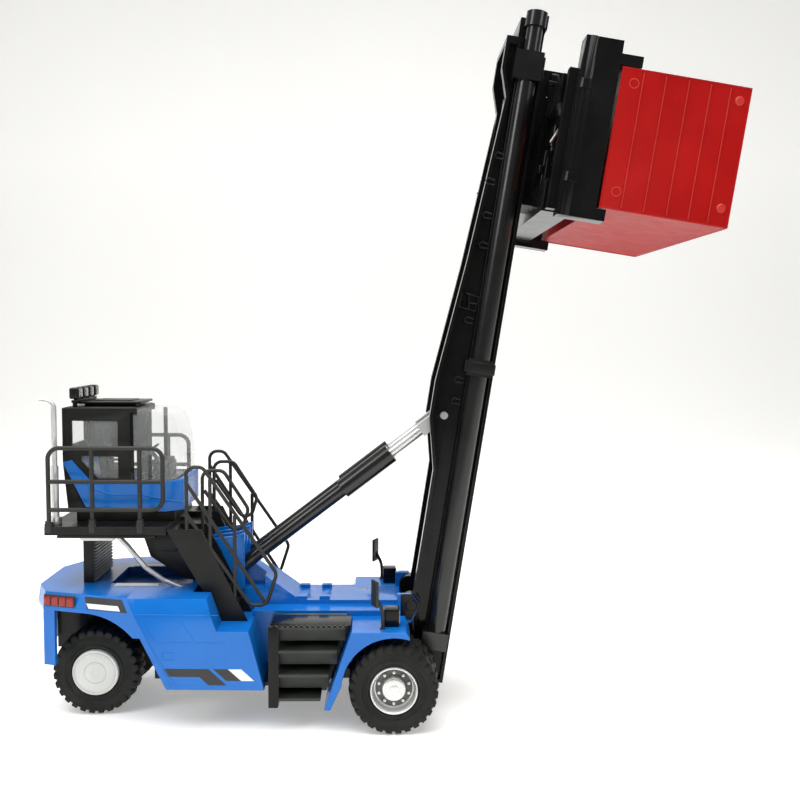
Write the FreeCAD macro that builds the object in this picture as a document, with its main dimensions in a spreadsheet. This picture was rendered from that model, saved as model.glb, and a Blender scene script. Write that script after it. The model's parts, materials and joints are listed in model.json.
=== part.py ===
"""Toy container forklift, 1:50: a die-cast truck with a raised two-stage mast, a side-lift
spreader and a twenty-foot container.

Frame: +X forward, +Y to the truck's left, +Z up, the floor at Z = 0.  Lengths are millimetres.
Three frames carry the sub-parts: the truck (under the front axle), the mast (at its foot pins,
tipped forward) and the tilt cylinders (at their base pins, along the cylinders).
"""
import FreeCAD, Part
import math
import os
import re

import Sketcher
from FreeCAD import Placement, Rotation, Vector

DIMENSIONS = {
    # Places of the main groups
    "front_axle_x": 9.8, "wheel_base": 124.5,
    "mast_pivot_x": 7.5, "mast_pivot_z": 46, "mast_tilt": 8.7,
    "tilt_base_x": -69.5, "tilt_base_z": 57.1, "tilt_pin_x": 1.1, "tilt_pin_z": 81.5, "tilt_y": 8,
    # Shared thicknesses and clearances
    "wall": 1.4, "skin": 1, "gap": 0.3, "fit": 0.05, "pin_radius": 1.6, "screw_radius": 1.5,
    # Wheels and axles
    "wheel_radius": 18.4, "rim_radius": 9.7, "shoulder": 2.4, "shaft_radius": 1.5,
    "outer_tyre_face": 44, "tyre_width": 10.4, "tyre_gap": 0.8, "rim_dish": 4.2, "cap_radius": 5.4,
    "rear_tyre_face": 22.5, "rear_tyre_width": 12, "rear_disc_proud": 0.6, "rim_web": 2.4,
    "rim_well": 9, "king_y": 12.5, "king_radius": 1, "beam_half": 2.9, "beam_thick": 2.2,
    "fork_radius": 3, "fork_gap": 0.2, "fork_thick": 1.8, "fork_reach": 4.2, "arm_reach": 5,
    "ball_radius": 0.6, "tie_half": 1.4, "tie_thick": 0.8,
    # Chassis pan
    "pan_rear": -101, "pan_front": 5, "pan_half": 18, "pan_bottom": 14, "pan_top": 22,
    "tray_rear": -92, "tray_front": -29, "tray_half": 38, "tray_bottom": 18.6,
    "spine_rear": -146, "spine_half": 4.8, "spine_bottom": 23.4, "spine_top": 45.8,
    # Body shell
    "deck_z": 54, "belt_z": 48.5, "skirt_z": 17.7, "flank_half": 41, "deck_edge": 38.5,
    "landing_z": 41.6, "landing_rear": -71, "flank_step_x": -75.7, "flank_nose_top": -58.2,
    "flank_nose_foot": -52, "seam_foot": -88.6,
    "toe_x": -101.6, "toe_z": 38.6, "toe_foot": -91.2, "seam_belt": -104.2, "seam_top": -108.4,
    "tail_half": 28, "tail_x": -143.5, "rump_half": 17, "rump_x": -149.5, "flare_x": -104,
    "arch_radius": 28.5, "arch_rear": -138.6, "arch_top": 46.9, "post_foot": 24, "post_inner": 26.9,
    "apron_foot": 27, "apron_half": 13, "apron_front": -147.2,
    "hood_half": 11, "hood_rear": -86, "hood_crest": -61.3, "hood_knee": -40.1, "hood_high": 61.2,
    "hood_low": 45.8, "hood_front": 3, "ledge_half": 20.4, "ledge_z": 44, "ledge_rear": -59,
    "well_half": 14, "well_rear": -120, "well_floor": 50, "block_length": 4.4, "block_height": 1.6,
    "notch_rear": -82.6, "notch_inner": 12.7, "notch_outer": 27.4,
    "lug_front": 11.2, "lug_inner": 17, "lug_outer": 19.4, "lug_radius": 4.6,
    "cheek_rear": -79, "cheek_front": -63.5, "cheek_top": 74, "cheek_inner": 4.6,
    "cheek_outer": 11.4, "cheek_thick": 1.2, "pocket_front": -55,
    # Front fenders
    "fender_half": 43, "fender_z": 41.8, "fender_rear": -17.2, "fender_front": 6.3,
    "fender_arch": 21, "strip_foot_x": -28, "strip_head_x": -15,
    "strip_width": 2.5, "strip_foot_z": 10, "strip_top": 33,
    # Lamps and mirrors
    "lamp_x": -4, "lamp_length": 6.5, "lamp_y": 33, "lamp_width": 6, "lamp_height": 7.4,
    "tail_lamp_length": 14.5, "tail_lamp_z": 48.6, "tail_lamp_height": 4.8, "tail_lamp_thick": 1.5,
    "mirror_x": -8.4, "mirror_y": 38, "mirror_z": 50.8, "mirror_height": 11, "mirror_width": 6,
    "stalk_x": -4.6, "stalk_radius": 0.8,
    # Side steps
    "steps_rear": -50.3, "steps_post": 4, "steps_inner": 24, "steps_outer": 40.6, "steps_foot": 10.9,
    "steps_top": 43.6, "riser_y": 33.5, "riser_height": 6.6, "tread_pitch": 9.8, "tread_thick": 1.2,
    # Stairs, platform and rails
    "stair_inner": 13.2, "stair_outer": 27, "stair_top": 79.8, "stair_rear": -93.5,
    "stair_head": -79.3, "stair_foot_rear": -71.4, "stair_foot_front": -60.4, "stair_tread": 7.2,
    "deck_plate_z": 81, "deck_plate_thick": 3.6, "deck_rear": -143, "deck_front": -93.5,
    "deck_half": 27, "rail_y": 26, "rail_radius": 0.9, "rail_top": 113.2, "rail_mid": 99.4,
    "rail_low": 87.8, "rail_rear": -141.3, "rail_nose": -94.8, "rail_post_a": -123.6,
    "rail_post_b": -104.2, "rail_bend": 4.6, "hand_radius": 0.75, "hand_bend": 3.6,
    "hand_rear": -85.2, "hand_top": 105.6, "hand_crest": -78.6, "hand_knee": -48.4, "hand_knee_z": 61.4,
    "hand_toe": -52.6, "hand_toe_z": 48.2, "hand_heel": -59.4, "hand_heel_z": 86, "hand_mid_z": 99,
    "hand_mid_foot": -53.2, "hand_mid_foot_z": 49.2, "post_a": -75.6, "post_a_foot": 62, "post_a_top": 100.4,
    "post_b": -65.6, "post_b_foot": 50, "post_b_top": 85.6, "grip_rear": -81, "grip_top": 102.4,
    "grip_crest": -72.2, "grip_knee": -61.6, "grip_knee_z": 86, "grip_toe": -65.6, "grip_toe_z": 73,
    "grip_heel": -80.2, "grip_heel_z": 94, "brace_head": -117.6, "brace_knee": -112, "brace_knee_z": 71.6,
    "brace_waist": -104.4, "brace_waist_z": 62, "brace_ankle": -96.6, "brace_ankle_z": 56.4,
    "brace_foot": -87.4, "brace_bend": 2.6,
    "column_rear": -131.8, "column_front": -127.6, "column_half": 13, "cap_z": 72.4,
    "cap_thick": 1.3, "cap_front": -118.6, "brace_y": 18, "brace_radius": 1,
    "exhaust_x": -140.6, "exhaust_y": -20, "exhaust_radius": 1.1, "exhaust_sleeve": 1.5,
    "exhaust_split": 105, "exhaust_top": 131.6, "exhaust_tip": -146.2, "exhaust_bend": 3.4,
    # Cab
    "cab_half": 16, "cab_rear": -138.8, "cab_front": -88.4, "cab_foot": 85,
    "cab_brow": -98.4, "cab_chin": -96.4, "cab_roof": 128.8,
    "cab_sill": 97.2, "cab_nose_sill": 99.4, "cab_hip": -126.2, "cab_quarter": -135,
    "cab_quarter_z": 107, "cab_heel": -129.6, "pillar_rear": -115.8, "pillar_front": -110.4,
    "roof_front": -107.6, "window_top": 123.4, "window_foot": 112.5, "window_rear": -134.9,
    "light_top": 108.6, "light_rear": -131, "glass_brow": -92.9, "glass_brow_z": 127.6,
    "seat_x": -127.3, "seat_length": 13, "seat_half": 5.5, "seat_z": 100, "seat_back": 121,
    "console_x": -103, "console_top": 105, "hatch_rear": -133, "hatch_front": -106, "hatch_half": 9,
    "hatch_z": 130, "lampbar_x": -134.2, "lampbar_z": 132.6, "lampbar_lamp": 4.6,
    "lampbar_pitch": 7.6, "lampbar_foot": 128.8,
    # Outer mast, in the mast frame
    "mast_front": 18.9, "mast_foot": -32.5, "mast_toe": 7, "mast_top": 240, "mast_shoulder": 233.5,
    "mast_head_front": 7.7, "mast_head_rear": 1.7, "mast_head_foot": 226.5, "mast_neck": 5.2,
    "mast_neck_z": 215.4, "mast_back": 0.3, "mast_back_top": 147.2, "mast_belly": -4.8,
    "mast_belly_top": 95.5, "mast_belly_foot": 80, "mast_belly_start": 58, "mast_heel_z": -8,
    "web_inner": 12.3, "flange_outer": 16.5, "channel_rear": 5, "channel_lip": 1.2,
    "channel_inner": 9.4, "foot_lug": 4.2, "cross_height": 6, "cross_low": 24, "cross_mid": 150,
    # Lift cylinders
    "tube_x": 12.3, "tube_y": 17.9, "tube_radius": 4, "tube_bore": 3.45, "tube_foot": -9.5,
    "shoe_foot": -17, "shoe_rear": 6.5, "shoe_outer": 22.2,
    "clamp_foot": 100, "clamp_height": 7, "clamp_rear": 7, "clamp_outer": 22.3,
    "block_foot": 222, "block_top": 233.5, "block_rear": 6,
    "rod_radius": 3.3, "rod_foot": 118, "rod_cap_foot": 244, "rod_cap_top": 250, "rod_cap_radius": 4.3,
    # Inner mast
    "inner_rear": 6.6, "inner_front": 17.3, "inner_web": 10.9, "inner_outer": 12,
    "inner_flange": 1.2, "inner_lip": 8.9, "inner_foot": -17, "inner_top": 249.6,
    # Tilt cylinders, in their own frame
    "barrel_radius": 3, "barrel_start": 2, "sleeve_start": 60, "sleeve_end": 86, "sleeve_radius": 4.2,
    "barrel_bore": 2.2, "bore_start": 18, "eye_radius": 3.5, "eye_half": 2.3,
    "ram_radius": 2, "ram_start": 40, "clevis_start": 12, "clevis_half": 2.8,
    # Carriage and spreader, in the mast frame
    "carriage_inner": 5.4, "carriage_outer": 7.3, "carriage_foot": 174, "carriage_head": 230,
    "plate_rear": 19.6, "plate_front": 22.4, "plate_half": 12, "roller_radius": 3.7,
    "roller_x": 12, "roller_low": 182, "roller_high": 222, "roller_outer": 10.5,
    "hook_front": 30, "hook_foot": 226, "beam_rear": 22.4, "upper_beam_front": 31,
    "upper_beam_foot": 208, "upper_beam_top": 219, "lower_beam_front": 34, "lower_beam_foot": 167,
    "lower_beam_top": 179, "beam_end": 48, "beam_wall": 1.1,
    "arm_start": 14, "post_rear": 26.5, "post_front": 40.4, "post_side": 52, "post_face": 60.6,
    "post_foot_z": 164.6, "post_top_z": 230, "claw_front": 48.5, "claw_height": 4, "toe_front": 44.2,
    "column_x": 29.4, "column_radius": 2.6, "collar_radius": 3.2, "collar_height": 3.4, "column_proud": 0.5,
    "collar_low": 177, "collar_high": 211,
    # Container, in the mast frame
    "box_rear": 41.2, "box_width": 48.8, "box_height": 51.8, "box_length": 121.2, "box_foot": 169.3,
    "box_wall": 1.1, "box_border": 2.8, "box_recess": 0.9, "box_ribs": 5, "box_rib_width": 2.2,
    "door_thick": 1.2,
}
FRAME_TILT = "mast_tilt * 1 deg"
PIN_X = f"(mast_pivot_x + tilt_pin_x * cos({FRAME_TILT}) + tilt_pin_z * sin({FRAME_TILT}))"
PIN_Z = f"(mast_pivot_z - tilt_pin_x * sin({FRAME_TILT}) + tilt_pin_z * cos({FRAME_TILT}))"
TILT_RISE = f"({PIN_Z} - tilt_base_z)"
TILT_RUN = f"({PIN_X} - tilt_base_x)"
TILT_LENGTH = f"sqrt({TILT_RUN} ^ 2 + {TILT_RISE} ^ 2)"
REAR_AXLE = "(-wheel_base)"
STAIR_TREADS = 5
STEP_TREADS = 4
LAMP_PLACES = (-1.5, -0.5, 0.5, 1.5)
AXIS_TURN = {"X": Rotation(Vector(0, 1, 0), 90), "Y": Rotation(Vector(1, 0, 0), -90), "Z": Rotation()}

doc = FreeCAD.newDocument("container_forklift")
sheet = doc.addObject("Spreadsheet::Sheet", "sizes")
for row, (alias, value) in enumerate(DIMENSIONS.items(), start=1):
    sheet.set(f"A{row}", alias)
    sheet.set(f"B{row}", str(value))
    sheet.setAlias(f"B{row}", alias)
gauge = doc.addObject("App::FeaturePython", "gauge")
gauge.addProperty("App::PropertyFloat", "reading")
doc.recompute()
sub_parts = []


# ---------------------------------------------------------------- helpers

def linked(text):
    """The expression with each cell's alias pointed at the sheet."""
    return re.sub(r"[a-z_]+", lambda word: "sizes." * (word[0] in DIMENSIONS) + word[0], str(text))


def number(text):
    """The value of an expression over the sheet."""
    gauge.setExpression("reading", linked(text))
    gauge.recompute()
    return gauge.reading


def bind(item, **sizes):
    for name, text in sizes.items():
        item.setExpression(name.replace("__", "."), linked(text))
    return item


def put(item, x=0, y=0, z=0):
    """Bind where an item stands."""
    return bind(item, Placement__Base__x=x, Placement__Base__y=y, Placement__Base__z=z)


def box(x, y, z):
    """A block between two limits on each axis."""
    item = doc.addObject("Part::Box", "block")
    bind(item, Length=f"{x[1]} - ({x[0]})", Width=f"{y[1]} - ({y[0]})", Height=f"{z[1]} - ({z[0]})")
    return put(item, x[0], y[0], z[0])


def rod(axis, radius, length, x=0, y=0, z=0):
    """A cylinder that starts at a point and runs along an axis."""
    item = doc.addObject("Part::Cylinder", "rod")
    item.Placement = Placement(Vector(), AXIS_TURN[axis])
    return put(bind(item, Radius=radius, Height=length), x, y, z)


def fuse(*items):
    result = doc.addObject("Part::MultiFuse", "joined")
    result.Shapes = list(items)
    return result


def group(*items):
    """A compound, which can stand somewhere of its own."""
    result = doc.addObject("Part::Compound", "group")
    result.Links = list(items)
    return result


def cut(base, *tools):
    result = doc.addObject("Part::Cut", "cut")
    result.Base = base
    result.Tool = tools[0] if len(tools) == 1 else fuse(*tools)
    return result


def common(base, tool):
    result = doc.addObject("Part::Common", "common")
    result.Base = base
    result.Tool = tool
    return result


def mirrored(item):
    """The same item on the truck's other side."""
    result = doc.addObject("Part::Mirroring", "mirrored")
    result.Source = item
    result.Normal = Vector(0, 1, 0)
    return result


def pair(item):
    return [item, mirrored(item)]


def origin_feature(body, role):
    return next(part for part in body.Origin.OriginFeatures if part.Role == role)


def outline(body, plane, points, offset="0"):
    """A closed sketch of straight lines, each corner held by two dimensions."""
    sketch = body.newObject("Sketcher::SketchObject", "outline")
    sketch.AttachmentSupport = [(origin_feature(body, plane), "")]
    sketch.MapMode = "FlatFace"
    bind(sketch, AttachmentOffset__Base__z=offset)
    start = [Vector(number(across), number(up), 0) for across, up in points]
    for index, point in enumerate(start):
        sketch.addGeometry(Part.LineSegment(point, start[(index + 1) % len(start)]))
    for index, place in enumerate(points):
        before = (index or len(start)) - 1
        sketch.addConstraint(Sketcher.Constraint("Coincident", before, 2, index, 1))
        for kind, text, value in zip(("DistanceX", "DistanceY"), place, start[index]):
            held = sketch.addConstraint(Sketcher.Constraint(kind, -1, 1, index, 1, value))
            sketch.setExpression(f"Constraints[{held}]", linked(text))
    return sketch


def prism(plane, points, inner, outer):
    """An outline padded between two distances from its plane, on the plane's +Y or +X side."""
    body = doc.addObject("PartDesign::Body", "prism")
    pad = body.newObject("PartDesign::Pad", "pad")
    pad.Profile = outline(body, plane, points)
    pad.Midplane = True
    bind(pad, Length=f"({outer}) - ({inner})")
    middle = f"(({outer}) + ({inner})) / 2"
    along = {"XZ_Plane": (0, middle, 0), "YZ_Plane": (middle, 0, 0), "XY_Plane": (0, 0, middle)}
    return put(body, *along[plane])


def side_plate(points, inner, outer):
    """A plate in the XZ plane; inner and outer are its limits along Y."""
    return prism("XZ_Plane", points, inner, outer)


def turned(points):
    """A solid of revolution about Y from (radius, along) points."""
    body = doc.addObject("PartDesign::Body", "turned")
    spin = body.newObject("PartDesign::Revolution", "spin")
    spin.Profile = outline(body, "XY_Plane", points)
    spin.ReferenceAxis = (origin_feature(body, "Y_Axis"), [""])
    spin.Angle = 360
    return body


def loft(sections):
    """A ruled body through outlines that stand across X."""
    body = doc.addObject("PartDesign::Body", "loft")
    sketches = [outline(body, "YZ_Plane", points, x) for x, points in sections]
    skin = body.newObject("PartDesign::AdditiveLoft", "skin")
    skin.Profile = sketches[0]
    skin.Sections = sketches[1:]
    skin.Ruled = True
    return body


def bent_rod(points, radius, bend, y="0"):
    """A round bar along a route in the XZ plane, its corners rounded."""
    route = [Vector(number(x), number(y), number(z)) for x, z in points]
    return swept(route, number(radius), number(bend))


def swept(route, radius, bend):
    """A round bar along straight runs joined by tangent arcs."""
    edges = []
    start = route[0]
    for here, after in zip(route[1:-1], route[2:]):
        arriving = (here - start).normalize()
        leaving = (after - here).normalize()
        half_turn = arriving.getAngle(leaving) / 2
        reach = bend * math.tan(half_turn)
        first, last = here - arriving * reach, here + leaving * reach
        inward = (leaving - arriving).normalize()
        middle = here + inward * (bend / math.cos(half_turn) - bend)
        edges += [Part.makeLine(start, first), Part.Arc(first, middle, last).toShape()]
        start = last
    edges.append(Part.makeLine(start, route[-1]))
    ring = Part.Wire(Part.makeCircle(radius, route[0], route[1] - route[0]))
    return Part.Wire(edges).makePipeShell([ring], True, False)


def sub_part(label, *items, frame="truck"):
    """Name one sub-part, stand it in its frame and list it for export."""
    part = group(*items)
    part.Label = label
    if frame == "mast":
        part.Placement = Placement(Vector(), Rotation(Vector(0, 1, 0), 1))
        put(part, "front_axle_x + mast_pivot_x", 0, "mast_pivot_z")
        bind(part, Placement__Rotation__Angle=FRAME_TILT)
    elif frame == "tilt":
        part.Placement = Placement(Vector(), Rotation(Vector(0, -1, 0), 1))
        put(part, "front_axle_x + tilt_base_x", 0, "tilt_base_z")
        bind(part, Placement__Rotation__Angle=f"atan({TILT_RISE} / {TILT_RUN})")
    else:
        put(part, "front_axle_x", 0, 0)
    sub_parts.append(part)


def shaped(name, shape):
    """A document object around a shape made with Part's own functions."""
    item = doc.addObject("Part::Feature", name)
    item.Shape = shape
    return item


# ---------------------------------------------------------------- chassis and body

def make_chassis():
    axle = rod("Y", "shaft_radius + fit", "4 * pan_half", 0, "-2 * pan_half", "wheel_radius")
    pan = box(("pan_rear", "pan_front"), ("-pan_half", "pan_half"), ("pan_bottom", "pan_top"))
    tray = box(("tray_rear", "tray_front"), ("-tray_half", "tray_half"),
               ("tray_bottom", "tray_bottom + wall"))
    spine = box(("spine_rear", "pan_rear + wall"), ("-spine_half", "spine_half"),
                ("spine_bottom", "spine_top"))
    neck = box(("pan_rear", "pan_rear + 6 * wall"), ("-spine_half", "spine_half"),
               ("pan_bottom", "spine_top"))
    seat = rod("Z", "spine_half", "spine_bottom - wheel_radius - beam_thick", REAR_AXLE, 0,
               "wheel_radius + beam_thick")
    screws = screw_set("2 * screw_radius", "fit")
    step_room = pair(box(("steps_rear - gap", "tray_front + wall"),
                         ("steps_inner - wall - gap", "flank_half"),
                         ("pan_bottom", "pan_top")))
    frame = cut(fuse(pan, tray, spine, neck, seat), *step_room)
    sub_part("chassis_pan", cut(frame, axle, screws))
    sub_part("front_axle", rod("Y", "shaft_radius", "2 * outer_tyre_face - 4 * rim_dish", 0,
                               "2 * rim_dish - outer_tyre_face", "wheel_radius"))
    sub_part("chassis_screws", screw_set("2 * screw_radius", "0"))
    return frame


def screw_set(head, clearance):
    """Four pan-head screws that come up through the pan into the body."""
    screws = []
    for x in ("pan_rear + 3 * wall", "pan_front - 10 * wall"):
        for side in (-1, 1):
            y = f"{side} * (pan_half - 3 * wall)"
            shank = rod("Z", f"screw_radius + {clearance}", "ledge_z - pan_bottom - 14 * wall", x, y,
                        "pan_bottom")
            cap = rod("Z", f"{head} * 0.9 + {clearance}", "wall", x, y, "pan_bottom")
            screws.append(fuse(shank, cap))
    return fuse(*screws)


def flank_section(half, foot):
    """The body's outline across the truck at one place along it."""
    shoulder = f"({half}) - (flank_half - deck_edge)"
    right = [(f"-({half})", foot), (f"-({half})", "belt_z"), (f"-({shoulder})", "deck_z")]
    left = [(shoulder, "deck_z"), (half, "belt_z"), (half, foot)]
    return right + left


def body_block():
    """The whole body's outer form, from the rump to the front of the flanks."""
    return loft([("rump_x", flank_section("rump_half", "skirt_z")),
                 ("tail_x", flank_section("tail_half", "skirt_z")),
                 ("flare_x", flank_section("flank_half - wall", "skirt_z")),
                 ("flank_nose_foot", flank_section("flank_half", "skirt_z"))])


def deck_well():
    return box(("well_rear", "hood_rear"), ("-well_half", "well_half"), ("well_floor", "deck_z + wall"))


def make_counterweight(chassis):
    outline_points = [("rump_x - wall", "post_foot"), ("arch_rear", "post_foot"), ("arch_rear", "skirt_z"),
                      ("seam_foot", "skirt_z"), ("seam_belt", "belt_z"), ("seam_top", "deck_z + wall"),
                      ("rump_x - wall", "deck_z + wall")]
    solid = common(body_block(), side_plate(outline_points, "-flank_half - wall", "flank_half + wall"))
    arch = rod("Y", "arch_radius", "3 * flank_half", REAR_AXLE, "-1.5 * flank_half", "wheel_radius")
    arch_limit = box(("arch_rear", "0"), ("-2 * flank_half", "2 * flank_half"), ("0", "deck_z"))
    toe = side_plate([("toe_x", "toe_z"), ("toe_foot", "skirt_z"), ("toe_foot", "0"), (REAR_AXLE, "0"),
                      (REAR_AXLE, "toe_z")], "-2 * flank_half", "2 * flank_half")
    corner = box(("arch_rear", REAR_AXLE), ("-2 * flank_half", "2 * flank_half"), ("0", "arch_top"))
    wells = box(("rump_x - wall", "0"), ("-post_inner", "post_inner"), ("0", "arch_top"))
    apron = box(("rump_x + wall", "apron_front"), ("-apron_half", "apron_half"), ("apron_foot", "arch_top"))
    weight = fuse(cut(solid, common(arch, arch_limit), toe, corner, wells, deck_well()), apron)
    sub_part("counterweight", cut(weight, chassis))


def make_body_shell(chassis):
    region = [("seam_foot + fit", "skirt_z"), ("flank_nose_foot", "skirt_z"),
              ("flank_nose_top", "landing_z"),
              ("landing_rear", "landing_z"), ("flank_step_x", "deck_z + wall"),
              ("seam_top + fit", "deck_z + wall"), ("seam_belt + fit", "belt_z")]
    flanks = common(body_block(), side_plate(region, "-flank_half - wall", "flank_half + wall"))
    inside = box(("seam_belt - wall", "flank_nose_top - 4 * wall"),
                 ("wall - flank_half", "flank_half - wall"),
                 ("0", "landing_z - wall"))
    attic = box(("seam_belt - wall", "flank_step_x - 2 * wall"),
                ("4 * wall - flank_half", "flank_half - 4 * wall"),
                ("0", "well_floor - wall"))
    notches = pair(box(("notch_rear", "hood_crest + 2 * wall"), ("notch_inner", "notch_outer"),
                       ("landing_z", "deck_z + 4 * wall")))
    hood_side = [("hood_rear", "landing_z - 2 * wall"), ("hood_rear", "hood_high"),
                 ("hood_crest", "hood_high"),
                 ("hood_knee", "hood_low"), ("hood_front", "hood_low"),
                 ("hood_front", "landing_z - 2 * wall")]
    hood = side_plate(hood_side, "-hood_half", "hood_half")
    pockets = pair(box(("cheek_rear + wall", "pocket_front"), ("cheek_inner", "hood_half + wall"),
                       ("deck_z - 2 * wall", "hood_high + wall")))
    ledge = box(("ledge_rear", "hood_front"), ("-ledge_half", "ledge_half"), ("pan_top", "ledge_z"))
    hollow = box(("ledge_rear - wall", "hood_front - wall"), ("wall - hood_half", "hood_half - wall"),
                 ("0", "landing_z - 3 * wall"))
    engine_room = pair(box(("ledge_rear - wall", "hood_front - 2 * wall"),
                           ("hood_half", "ledge_half - wall"),
                           ("0", "landing_z - 3 * wall")))
    blocks = [box((x, f"{x} + block_length"),
              (f"{side} * hood_half * 0.85 - wall", f"{side} * hood_half * 0.85 + wall"),
                  ("hood_low - wall", "hood_low + block_height"))
              for x in ("hood_knee + 6 * wall", "hood_knee - wall") for side in (-1, 1)]
    cheek_side = [("cheek_rear", "deck_z - 2 * wall"), ("cheek_rear", "cheek_top - wall"),
                  ("cheek_front - 3 * wall", "cheek_top"),
                  ("cheek_front", "cheek_top + wall"), ("cheek_front", "deck_z - 2 * wall")]
    cheeks = [plate for inner in ("cheek_outer", "cheek_inner - cheek_thick")
              for plate in pair(side_plate(cheek_side, inner, f"{inner} + cheek_thick"))]
    lug_side = [("hood_front - wall", "ledge_z - 4 * wall"),
                ("hood_front - wall", "mast_pivot_z + lug_radius"),
                ("mast_pivot_x", "mast_pivot_z + lug_radius"), ("lug_front", "mast_pivot_z"),
                ("mast_pivot_x", "ledge_z - 4 * wall")]
    lugs = pair(side_plate(lug_side, "lug_inner", "lug_outer"))
    base_pin = rod("Y", "pin_radius + fit", "3 * hood_half", "tilt_base_x", "-1.5 * hood_half",
                   "tilt_base_z")
    foot_pin = rod("Y", "pin_radius + fit", "2 * flank_half", "mast_pivot_x", "-flank_half", "mast_pivot_z")
    screws = screw_set("2 * screw_radius", "fit")
    shell = cut(flanks, inside, attic, deck_well(), *notches)
    body = fuse(shell, cut(fuse(hood, *blocks), *pockets), ledge, *cheeks, *lugs)
    sub_part("body_shell", cut(body, hollow, *engine_room, base_pin, foot_pin, screws, chassis))


def make_fenders():
    profile = [("strip_foot_x", "strip_foot_z"), ("strip_foot_x + strip_width", "strip_foot_z"),
               ("strip_head_x", "strip_top"), ("fender_front", "strip_top"),
               ("fender_front", "fender_z - 2 * wall"),
               ("fender_front - wall", "fender_z"), ("fender_rear", "fender_z")]
    wheel = rod("Y", "fender_arch", "2 * flank_half", 0, 0, "wheel_radius")
    fender = cut(side_plate(profile, "ledge_half", "fender_half"), wheel)
    sub_part("fender_l", fender)
    sub_part("fender_r", mirrored(fender))


def make_lamps():
    housing = box(("lamp_x", "lamp_x + lamp_length"),
                  ("lamp_y - lamp_width / 2", "lamp_y + lamp_width / 2"),
                  ("fender_z", "fender_z + lamp_height"))
    sub_part("headlamps", *pair(housing))
    lens = box(("0", "tail_lamp_length"), ("0", "tail_lamp_thick"), ("0", "tail_lamp_height"))
    put(lens, 0, "-wall / 2", 0)
    turned_lens = group(lens)
    turned_lens.Placement = Placement(Vector(), Rotation(Vector(0, 0, 1), 1))
    put(turned_lens, "tail_x", "tail_half", "tail_lamp_z")
    bind(turned_lens,
         Placement__Rotation__Angle="atan((flank_half - wall - tail_half) / (flare_x - tail_x))")
    sub_part("tail_lamps", *pair(turned_lens))


def make_mirrors():
    plate = box(("mirror_x", "mirror_x + wall"),
        ("mirror_y - mirror_width / 2", "mirror_y + mirror_width / 2"),
                ("mirror_z", "mirror_z + mirror_height"))
    stalk = shaped("stalk", bent_rod([("stalk_x", "fender_z - wall / 2"), ("stalk_x", "mirror_z - wall"),
                                      ("mirror_x + wall / 2", "mirror_z + mirror_height / 2")],
                                     "stalk_radius", "2 * wall", "mirror_y"))
    sub_part("mirrors", *pair(fuse(plate, stalk)))


# ---------------------------------------------------------------- steps, stairs and rails

def step_stack(first_level, post_top):
    lean = "(fender_rear - strip_foot_x) / (fender_z - strip_foot_z)"
    right_edge = "strip_foot_x - gap + " + lean + " * ({z} - strip_foot_z)"
    foot_edge = right_edge.format(z="steps_foot")
    back_edge = [("steps_rear", "steps_foot"), (foot_edge, "steps_foot"),
                 (right_edge.format(z="landing_z"), "landing_z"), ("steps_rear", "landing_z")]
    pieces = [side_plate(back_edge, "steps_inner - wall", "steps_inner"),
              box(("steps_rear", "steps_rear + steps_post"), ("steps_inner", "steps_outer"),
                  ("steps_foot", "steps_foot + tread_thick")),
              box(("steps_rear", "steps_rear + steps_post"), ("steps_outer - 2 * wall", "steps_outer"),
                  ("steps_foot", post_top))]
    for level in range(first_level, STEP_TREADS):
        tread_z = f"(steps_top - {level} * tread_pitch - tread_thick)"
        edge = right_edge.format(z=f"({tread_z} - riser_height)")
        pieces.append(box(("steps_rear", edge), ("steps_inner - wall", "steps_outer"),
                          (tread_z, f"{tread_z} + tread_thick")))
        if level < STEP_TREADS - 1:
            pieces.append(box(("steps_rear", edge), ("riser_y", "riser_y + skin"),
                              (f"{tread_z} - riser_height", tread_z)))
    return fuse(*pieces)


def make_steps():
    sub_part("side_steps_l", step_stack(1, "steps_top - 2 * wall"))
    sub_part("side_steps_r", mirrored(step_stack(0, "steps_top")))


def make_stairs():
    side = [("stair_rear", "stair_top"), ("stair_head", "stair_top"), ("stair_foot_front", "landing_z"),
            ("stair_foot_rear", "landing_z")]
    pieces = [side_plate(side, "stair_inner", "stair_inner + skin"),
              side_plate(side, "stair_outer - skin", "stair_outer")]
    for level in range(1, STAIR_TREADS + 1):
        share = f"{level} / {STAIR_TREADS + 1}"
        front = f"stair_foot_front - wall + (stair_head - stair_foot_front) * {share}"
        tread_z = f"landing_z + (stair_top - landing_z) * {share}"
        pieces.append(box((f"{front} - stair_tread", front), ("stair_inner", "stair_outer"),
                          (f"{tread_z} - tread_thick", tread_z)))
    back = [("stair_rear", "stair_top"), ("stair_rear + 2 * wall", "stair_top"),
            ("stair_foot_rear + 2 * wall", "landing_z"),
            ("stair_foot_rear", "landing_z")]
    pieces.append(side_plate(back, "stair_inner", "stair_outer"))
    stairs = fuse(*pieces)
    sub_part("stairs_l", stairs)
    sub_part("stairs_r", mirrored(stairs))


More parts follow.
